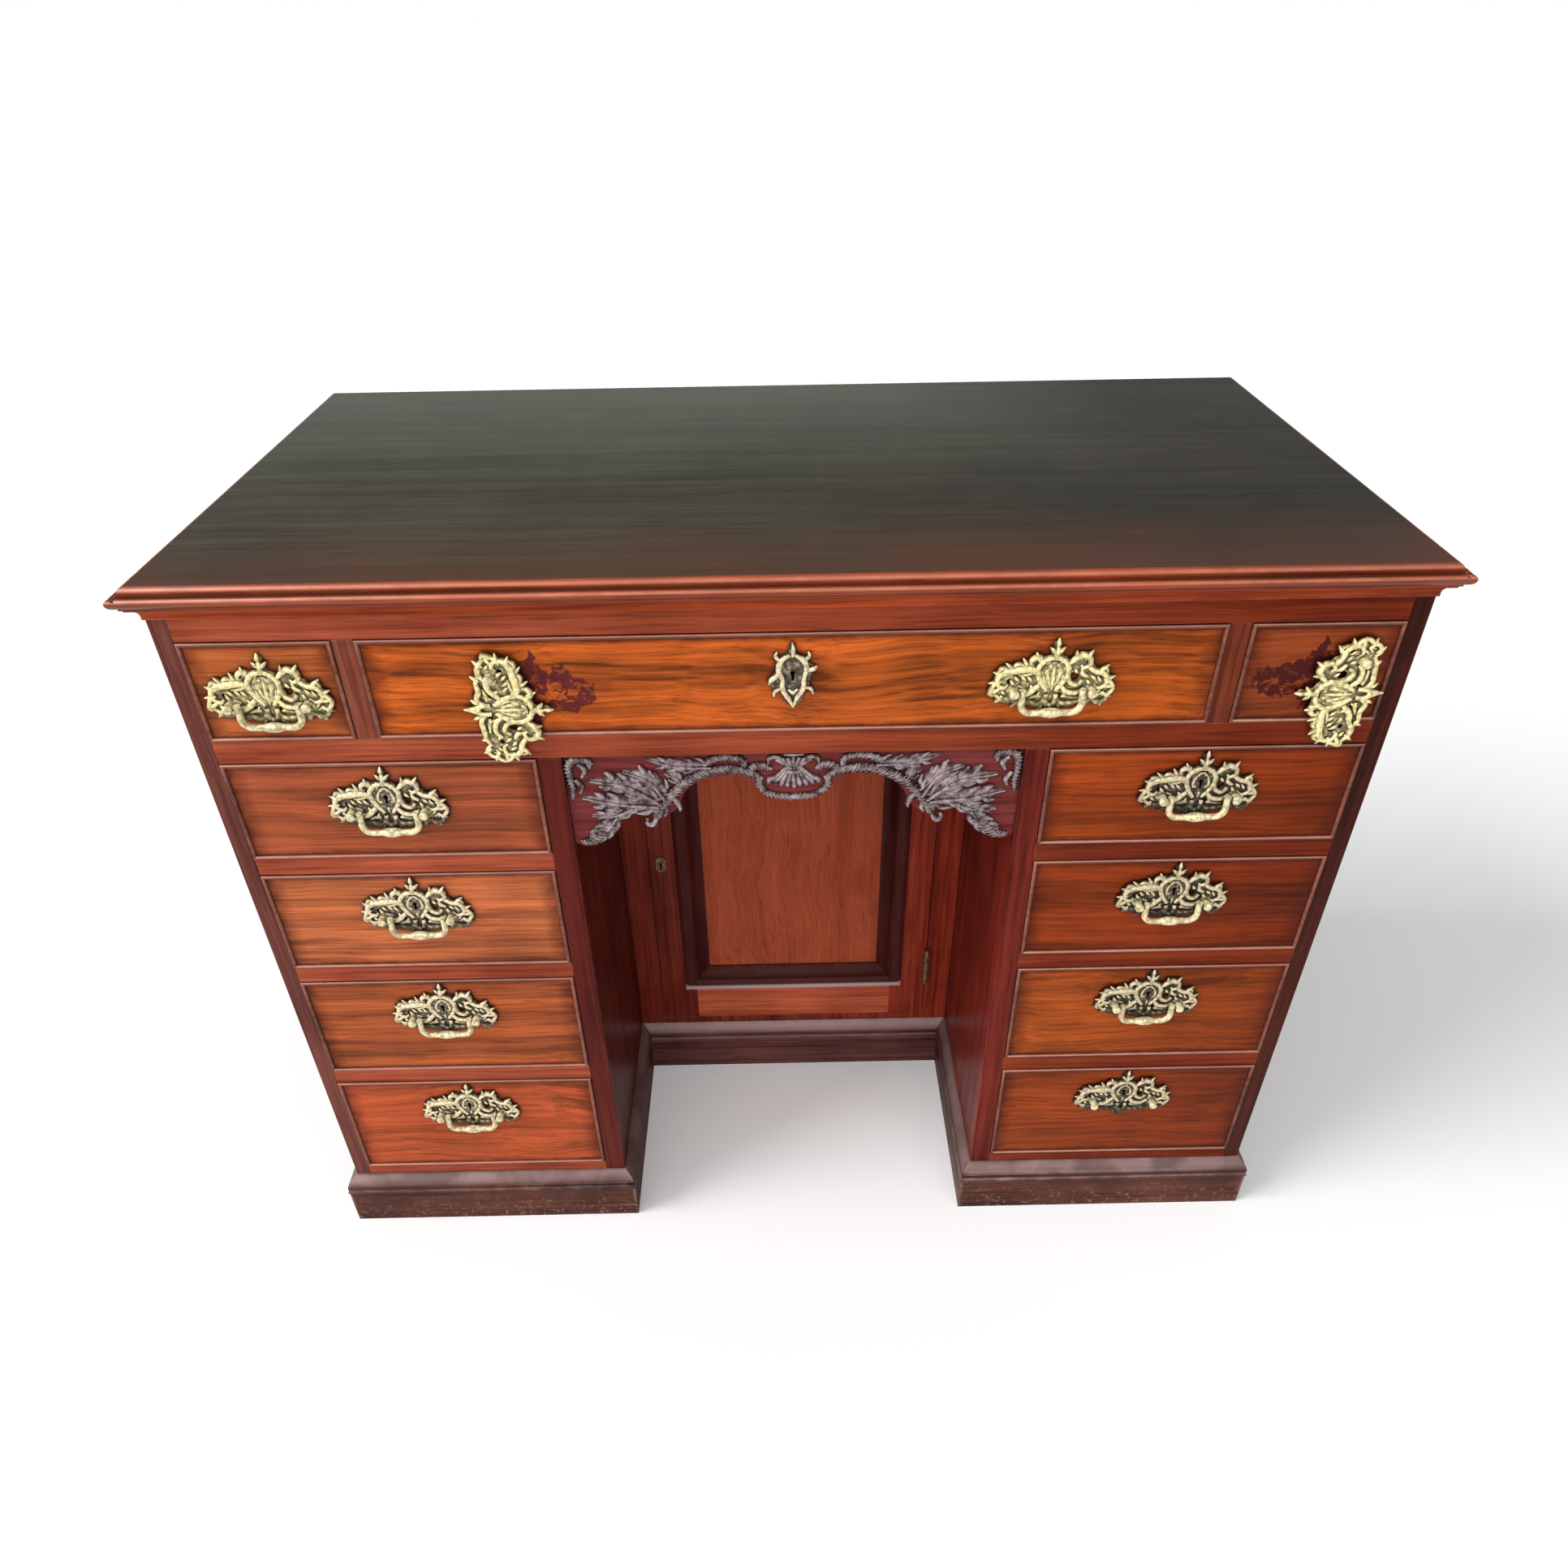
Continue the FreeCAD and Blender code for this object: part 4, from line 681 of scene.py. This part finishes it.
ghost_seats = {"frieze_long": (-(long_low.x + long_high.x) / 2, seat_height, (86, 30, 38)),
               "frieze_right": (-(small_low.x + small_high.x) / 2, seat_height, (62, 16, 20))}
case_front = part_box("left_side")[0].y
bead_width = 3.4 * mm
bead_depth = 10.2 * mm
front_thick = 20.0 * mm
face_slack = 0.1 * mm
for number, (name, middle) in enumerate(front_tints.items()):
    light = [min(255, value * 1.16) for value in middle]
    dark = [value * front_darks.get(name, 0.7) for value in middle]
    # Each front: painted shade falling off across it where listed, and old polish with painted shade round
    # its plates.
    front_wood = wood(name + " front", dark, light, along_x, (5.0 * number, 2.3 * number, 1.7 * number),
                      front_figures.get(name, 0.2), ghost=ghost_seats.get(name), painted_falloff=front_falloffs.get(name),
                      grime_and_shade=7.0)
    low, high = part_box("drawer_" + name)
    tree, _, colour = reopen(front_wood)
    # Painted shade darkens the front along its beads.
    border_shade = use_group(tree, border_shade_tree, {"Low": low, "High": high})["Mask"]
    recolour(tree, mix_colours(tree, border_shade, colour, tint(70, 22, 16)))
    piece = dress("drawer_" + name, [front_wood, bead_wood, lining_wood], 0.3)
    x, y, z = face_values(piece, "center")
    inset = np.minimum.reduce([x - low.x, high.x - x, z - low.z, high.z - z])
    beads = (inset < bead_width) & (y < case_front + bead_depth)
    linings = y > case_front + front_thick - face_slack
    choose_faces(piece, np.where(linings, 2, np.where(beads, 1, 0)))

# Handles: cast brass plates with pierced rococo scrolls, two turned posts, and a bail that hangs in them.
# The high spots are rubbed bright and the hollows are black with old polish and painted shade. Below the bail
# the plates are painted dark as its shadow, and those on the right are painted darker as shade; posts are
# nutted inside.


def brass(name, bright, dull, ground):
    """Old brass, bright on top of a relief and black in its hollows, with old polish and painted shade;
    ground is how bright its flats are.
    """
    material, tree, shader = new_material(name)
    place = here(tree)
    height = add_node(tree, "ShaderNodeAttribute", attribute_name="relief").outputs["Fac"]
    stain = spread(tree, noise(tree, place, 260.0, 4.0, 0.6), 0.3, 0.6, 0.6, 1.0)
    high = calc(tree, "MAXIMUM", spread(tree, height, 0.3, 0.9), ground)
    grains = add_node(tree, "ShaderNodeTexVoronoi", {"Vector": place, "Scale": 230.0, "Randomness": 0.9})
    lump = spread(tree, grains.outputs["Distance"], 0.62, 0.2)
    # Painted shade in the hollows, over the old polish.
    unshaded = spread(tree, open_air(tree, 4.0, 6), 0.3, 0.85)
    share = calc(tree, "MULTIPLY", calc(tree, "MULTIPLY", high, stain), unshaded)
    share = calc(tree, "MULTIPLY", share, spread(tree, lump, 0.0, 1.0, 0.4, 1.0))
    share = spread(tree, share, 0.06, 0.5)
    tree.links.new(mix_colours(tree, share, tint(*dull), tint(*bright)), shader.inputs["Base Color"])
    tree.links.new(spread(tree, share, 0.0, 1.0, 0.6, 0.36), shader.inputs["Roughness"])
    tree.links.new(spread(tree, share, 0.0, 1.0, 0.1, 0.3), shader.inputs["Metallic"])
    bump = add_node(tree, "ShaderNodeBump", {"Strength": 0.6, "Distance": 0.6 * mm, "Height": lump})
    tree.links.new(bump.outputs[0], shader.inputs["Normal"])
    return material


def blades(places, root, belly, tip, crest):
    """Short leaf strokes, each from one point to another, with three half widths along it."""
    return [([(u, v, root), ((u + tip_u) / 2, (v + tip_v) / 2, belly), (tip_u, tip_v, tip)], crest)
            for u, v, tip_u, tip_v in places]


plate_scrolls = [
    ([(0.5, 27, 2.2), (1, 33, 2.0), (1, 36.5, 1.5), (0.8, 41.6, 0.5)], 1.3),
    ([(-0.5, 36, 1.2), (2.2, 36, 1.2)], 1.6),
    ([(-1, 28, 2.0), (-8, 26, 2.4), (-12.5, 18, 2.4), (-10, 8, 2.2), (-4, -1, 1.8)], 1.1),
    ([(2, 28, 2.0), (8, 25, 2.2), (11.5, 17, 2.2), (9, 8, 2.0), (3, -1, 1.8)], 1.1),
    ([(-10, 25, 1.6), (-13, 29, 2.0), (-17.5, 27, 2.0), (-19, 23, 1.4), (-16, 21.5, 0.8)], 1.2),
    ([(-11, 13, 2.0), (-18, 19, 3.2), (-28, 18, 3.4), (-37, 16.5, 3.0), (-43, 11, 2.4), (-42.5, 4.5, 2.0),
      (-37.5, 2, 1.8), (-34.5, 5, 1.2)], 1.0),
    ([(-22, 21, 1.2), (-28, 23, 1.8), (-32, 20.5, 1.0)], 1.2),
    ([(-36, 19, 1.4), (-40, 19.5, 1.8), (-43.5, 15.5, 1.2)], 1.2),
    ([(-43, 9, 1.6), (-46, 4, 1.8), (-48, -2.5, 1.9), (-45.5, -5, 1.2)], 1.2),
    ([(-45, -3, 1.4), (-40, -7.5, 2.0), (-33, -9, 2.4), (-26, -5, 2.2), (-18, -3, 2.6), (-10, 4, 2.0)], 1.1),
    ([(-31, -9, 1.6), (-25, -12, 2.0), (-17, -11, 2.4), (-10, -13.5, 2.2), (-5, -9, 1.6)], 1.1),
    ([(9, 21, 1.4), (14, 25.5, 2.0), (20, 30, 2.4), (26, 28, 2.4), (27.5, 22.5, 2.0), (23.5, 19, 1.6),
      (20.5, 21.5, 1.0)], 1.2),
    ([(12, 20, 1.4), (11.5, 12, 2.0), (14, 5.5, 2.0), (20, 4, 2.0), (23, 8.5, 1.6)], 1.1),
    ([(22, 19, 1.4), (22.5, 14, 1.8), (27, 11, 1.6)], 1.1),
    ([(26, 20, 1.6), (32, 16, 2.4), (39, 14, 2.4), (43, 8.5, 2.2), (41, 2.5, 1.8), (35.5, 1, 1.6),
      (32, 4.5, 1.0)], 1.1),
    ([(36, 15, 1.2), (40.5, 18.5, 1.6), (42.5, 14, 1.0)], 1.2),
    ([(42, 8, 1.6), (46, 5, 1.8), (48, 0, 1.8), (45, -5, 2.0), (42.5, -10.5, 1.8), (37.5, -13, 1.6),
      (33, -9.5, 1.2)], 1.1),
    ([(37, -6, 1.2), (41, -3.5, 1.4), (40, -8, 1.0)], 1.1),
    ([(33, -9, 1.6), (26, -12, 2.0), (18, -12.5, 2.4), (10, -13, 2.2), (5, -9, 1.6)], 1.1),
    ([(26, 1, 1.4), (20, -3, 2.2), (12, -2, 2.4), (7, 3, 1.8)], 1.1),
    ([(-4, -4, 1.8), (-3.5, -11, 2.2), (-1.2, -18, 1.6), (0, -25.6, 0.5)], 1.1),
    ([(4, -4, 1.8), (3.5, -11, 2.2), (1.2, -18, 1.6), (0, -25.6, 0.5)], 1.1),
    ([(-2, -13, 1.4), (0, -14, 2.4), (2, -13, 1.4)], 1.5),
    ([(-8, -6, 1.2), (-13, -6, 1.8), (-19, -8, 1.2)], 1.2),
    ([(8, -6, 1.2), (14, -7, 1.8), (21, -8, 1.2)], 1.2),
    ([(-14, 16, 0.8), (-20, 14, 1.6), (-27, 13, 1.0)], 1.2),
    ([(-7, 22, 0.7), (-4.5, 25, 1.1), (-3, 28, 0.7)], 1.4),
    ([(7, 21, 0.7), (5, 25, 1.1), (3.5, 28, 0.7)], 1.4),
    ([(-7.5, 10, 0.6), (-6, 16, 1.2), (-7, 21, 0.6)], 1.4),
    ([(7, 10, 0.6), (6, 16, 1.2), (6.6, 20, 0.6)], 1.4)]
leaf_veins = [
    (-30, 12, -26, 7), (-25, 13, -21, 8), (-20, 12, -16, 7), (-33, 9, -29, 3), (-27, 4, -22, 1),
    (-17, 4, -14, 0), (30, 12, 34, 8), (35, 11, 38, 6), (27, 8, 30, 3), (24, 1, 28, -3), (-5, 20, -1, 23),
    (5, 20, 1, 23), (-6, 12, -3, 8), (6, 12, 3, 8), (16, 18, 19, 14), (-40, 0, -36, -4), (39, 0, 35, -4),
    (-9, -2, -12, -9), (9, -2, 13, -9)]
leaf_tips = [
    (-40, 2, -50, -4), (-40, 8, -50, 6), (-38, 13, -47, 16), (-30, 17, -38, 24), (-20, 20, -25, 28),
    (-12, 25, -15, 33), (-38, -5, -44, -12), (-26, -9, -30, -16), (40, 2, 50, 2), (40, 8, 49, 11),
    (40, -4, 49, -8), (34, 14, 43, 21), (23, 26, 29, 34), (17, 26, 16, 34), (36, -9, 41, -16),
    (26, -10, 29, -16), (0.5, 32, -5, 37), (1, 32, 7, 37), (1, 37, 1, 45), (-5, -12, -9, -19),
    (5, -12, 9, -19)]
fuller = 1.15
plate_strokes = [([(u, v, half * fuller) for u, v, half in stroke], crest) for stroke, crest in plate_scrolls]
plate_strokes += blades(leaf_veins, 0.8, 1.7, 0.8, 1.25)
plate_strokes += blades(leaf_tips, 1.4, 2.1, 0.5, 1.2)
boss_leaf = [([(0, 0, 1.2), (0, 10, 1.9), (0, 25, 0.8)], 1.5)]
for side in (-1, 1):
    boss_leaf.append(([(side * 1.5, 3, 1.0), (side * 4.5, 12, 1.7), (side * 4.5, 22, 0.7)], 1.5))
    boss_leaf.append(([(side * 2, 0, 0.8), (side * 7, 8, 1.5), (side * 8, 17, 0.6)], 1.5))
keyhole_rim = [
    ([(-5.5, 7, 0.9), (-6.5, 14, 1.6), (-4, 21, 1.2), (0, 23.5, 1.4), (4, 21, 1.2), (6.5, 14, 1.6),
      (5.5, 7, 0.9)], 1.5),
    ([(0, -1, 0.9), (0, 3, 1.5), (0, 6, 0.7)], 1.5)]
# Below this the plates are painted dark as the bail's shadow.
behind_bail = -10.0
frieze_mesh = relief_mesh("brass scrolls behind a bail", plate_strokes + boss_leaf, behind_bail)
pedestal_mesh = relief_mesh("brass scrolls round a keyhole", plate_strokes + keyhole_rim, behind_bail)
# The plates on the right are a copy painted darker, as painted shade away from the light.
shaded_side_mesh = pedestal_mesh.copy()
frieze_brass = brass("bright brass", (255, 240, 176), (56, 40, 14), 0.4)
pedestal_brass = brass("worn brass", (246, 228, 186), (40, 30, 14), 0.24)
shaded_side_brass = brass("worn brass away from the light", (222, 204, 164), (34, 25, 12), 0.18)
plain_brass = brass("plain brass", (242, 228, 180), (60, 46, 22), 0.9)
plate_thick = 2.0 * mm
boss_radius = 14.0 * mm
seated = {"handle_frieze_left": ("drawer_frieze_left", frieze_brass, frieze_mesh),
          "handle_long_right": ("drawer_frieze_long", frieze_brass, frieze_mesh)}
for row in range(1, 5):
    seated["handle_left_%d" % row] = ("drawer_left_%d" % row, pedestal_brass, pedestal_mesh)
    seated["handle_right_%d" % row] = ("drawer_right_%d" % row, shaded_side_brass, shaded_side_mesh)
for name, (body, metal, mesh) in seated.items():
    piece = dress(name, [metal, plain_brass])
    low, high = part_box(name)
    seat = Vector(((low.x + high.x) / 2, case_front - plate_thick, high.z - plate_rise))
    x, y, z = face_values(piece, "center")
    choose_faces(piece, (y < seat.y - face_slack) & (np.abs(x - seat.x) > boss_radius))
    place_piece(name.replace("handle", "scrolls"), mesh, metal, body, Matrix.Translation(seat))

# Slipped plates: two of the plates have lost a post and their bail, and hang down from the post that is left.
# They are the same casting, turned on end.
loose_mesh = relief_mesh("brass scrolls", plate_strokes + boss_leaf)
for name, body, side in (("long_left", "frieze_long", -1), ("frieze_right", "frieze_right", 1)):
    dress("handle_" + name, [frieze_brass])
    dress("post_" + name, [plain_brass])
    low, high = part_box("post_" + name)
    plate_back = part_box("handle_" + name)[1].y
    pivot = Vector(((low.x + high.x) / 2, plate_back - plate_thick, (low.z + high.z) / 2))
    post_out = abs(pivot.x) - abs(ghost_seats[body][0])
    on_end = Matrix.Rotation(math.radians(-side * 90), 4, (0, 1, 0))
    turned = Matrix.Translation(pivot) @ on_end @ Matrix.Translation((-side * post_out, 0, 0))
    place_piece("scrolls_" + name, loose_mesh, frieze_brass, "slipped_plate_" + name, turned)

# Bails: cast brass drops, thin at the pins and swelling to a knop in the middle of the bow.
# Their ends are sprung into the posts, and hands have kept them bright.
for name in nodes:
    if name.startswith("bail_"):
        dress(name, [plain_brass])

# Escutcheon, lock and hinges: a scrolled brass plate round the long drawer's keyhole, and plain fittings.
# The cupboard's lock and hinges are let into the wood and have gone brown.
dark_brass = brass("tarnished brass", (150, 112, 74), (50, 32, 18), 0.6)
for name in ("hinge_fixed_leaves", "hinge_door_leaves", "door_lock"):
    dress(name, [dark_brass])
dress("long_drawer_escutcheon", [pedestal_brass])
key_strokes = [
    ([(0, 17, 1.6), (0.5, 22, 2.2), (0, 29, 0.6)], 1.2),
    ([(-2, 18, 1.6), (-9, 13, 2.6), (-11, 5, 2.6), (-8, -3, 2.0)], 1.0),
    ([(2, 18, 1.6), (8, 14, 2.6), (11, 7, 2.6), (9, -1, 2.0)], 1.0),
    ([(-10, 2, 1.8), (-16, -3, 2.4), (-19, -8, 0.8)], 1.1),
    ([(10, 4, 1.8), (16, 6, 2.4), (19, 8, 0.8)], 1.1),
    ([(-8, -3, 2.0), (-8, -12, 2.6), (-3, -21, 2.2), (0, -29, 0.6)], 1.0),
    ([(9, -1, 2.0), (8, -11, 2.6), (3, -20, 2.2), (0, -29, 0.6)], 1.0),
    ([(-4, -12, 1.2), (0, -15, 1.8), (4, -12, 1.2)], 1.2),
    ([(-9, 12, 1.4), (-13, 17, 1.8), (-12, 21, 0.7)], 1.1),
    ([(9, 13, 1.4), (13, 17, 1.8), (12, 21, 0.7)], 1.1),
    ([(-9, -11, 1.4), (-14, -14, 1.8), (-15, -19, 0.7)], 1.1),
    ([(9, -10, 1.4), (14, -12, 1.8), (16, -17, 0.7)], 1.1)]
key_mesh = relief_mesh("escutcheon scrolls", key_strokes)
low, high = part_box("long_drawer_escutcheon")
place_piece("scrolls_escutcheon", key_mesh, pedestal_brass, "drawer_frieze_long",
            Matrix.Translation((0, case_front - plate_thick, (high.z + low.z) / 2)))

# Floor, light and camera: a white sweep that keeps the desk's shadow, a soft lamp at the left and a broad one
# in front, and the viewpoint of the picture.
floor_half = 80.0
floor_glow = 0.16
floor_mesh = bpy.data.meshes.new("floor")
floor_corners = [(-floor_half, -floor_half, 0), (floor_half, -floor_half, 0), (floor_half, floor_half, 0),
                 (-floor_half, floor_half, 0)]
floor_mesh.from_pydata(floor_corners, [], [(0, 1, 2, 3)])
floor = bpy.data.objects.new("floor", floor_mesh)
bpy.context.scene.collection.objects.link(floor)
floor_material = bpy.data.materials.new("white floor")
floor_material.use_nodes = True
tree = floor_material.node_tree
tree.nodes.clear()
seen = add_node(tree, "ShaderNodeLightPath").outputs["Is Camera Ray"]
lit = add_node(tree, "ShaderNodeBsdfDiffuse", {"Color": (0.82, 0.82, 0.82, 1.0)})
glow = add_node(tree, "ShaderNodeEmission", {"Strength": calc(tree, "MULTIPLY", seen, floor_glow)})
both = add_node(tree, "ShaderNodeAddShader", {0: lit.outputs[0], 1: glow.outputs[0]})
add_node(tree, "ShaderNodeOutputMaterial", {"Surface": both.outputs[0]})
floor_mesh.materials.append(floor_material)

room_light = 0.3
backdrop_extra = 0.7
mirror_extra = 0.15
world = bpy.data.worlds.new("studio")
bpy.context.scene.world = world
world.use_nodes = True
tree = world.node_tree
rays = add_node(tree, "ShaderNodeLightPath").outputs
strength = calc(tree, "ADD", room_light, calc(tree, "MULTIPLY", rays["Is Camera Ray"], backdrop_extra))
strength = calc(tree, "ADD", strength, calc(tree, "MULTIPLY", rays["Is Glossy Ray"], mirror_extra))
tree.links.new(strength, tree.nodes["Background"].inputs["Strength"])
tree.nodes["Background"].inputs["Color"].default_value = (1.0, 1.0, 1.0, 1.0)

for name, power, width, direction in (("soft lamp at the left", 3.0, 35, (0.8, 0.2, -0.57)),
                                      ("broad lamp in front", 1.3, 80, (0.1, 0.75, -0.65))):
    lamp_data = bpy.data.lights.new(name, "SUN")
    lamp_data.angle = math.radians(width)
    lamp_data.energy = power
    lamp = bpy.data.objects.new(name, lamp_data)
    bpy.context.scene.collection.objects.link(lamp)
    lamp.matrix_world = Vector(direction).to_track_quat("-Z", "Y").to_matrix().to_4x4()

viewpoint = (-0.011445, -0.988025, 1.113781)
pitch, yaw, roll = (math.radians(angle) for angle in (35.228, 0.248, -0.95))
ahead = Vector((math.sin(yaw) * math.cos(pitch), math.cos(yaw) * math.cos(pitch), -math.sin(pitch)))
level = Vector((math.cos(yaw), -math.sin(yaw), 0))
upright = level.cross(ahead)
right = math.cos(roll) * level + math.sin(roll) * upright
up = math.cos(roll) * upright - math.sin(roll) * level
camera_data = bpy.data.cameras.new("camera")
camera_data.sensor_width = 36.0
camera_data.lens = 25.44
camera = bpy.data.objects.new("camera", camera_data)
bpy.context.scene.collection.objects.link(camera)
camera_turn = Matrix((right, up, -ahead)).transposed().to_4x4()
camera.matrix_world = Matrix.Translation(viewpoint) @ camera_turn
bpy.context.scene.camera = camera
bpy.context.scene.view_settings.view_transform = "Standard"
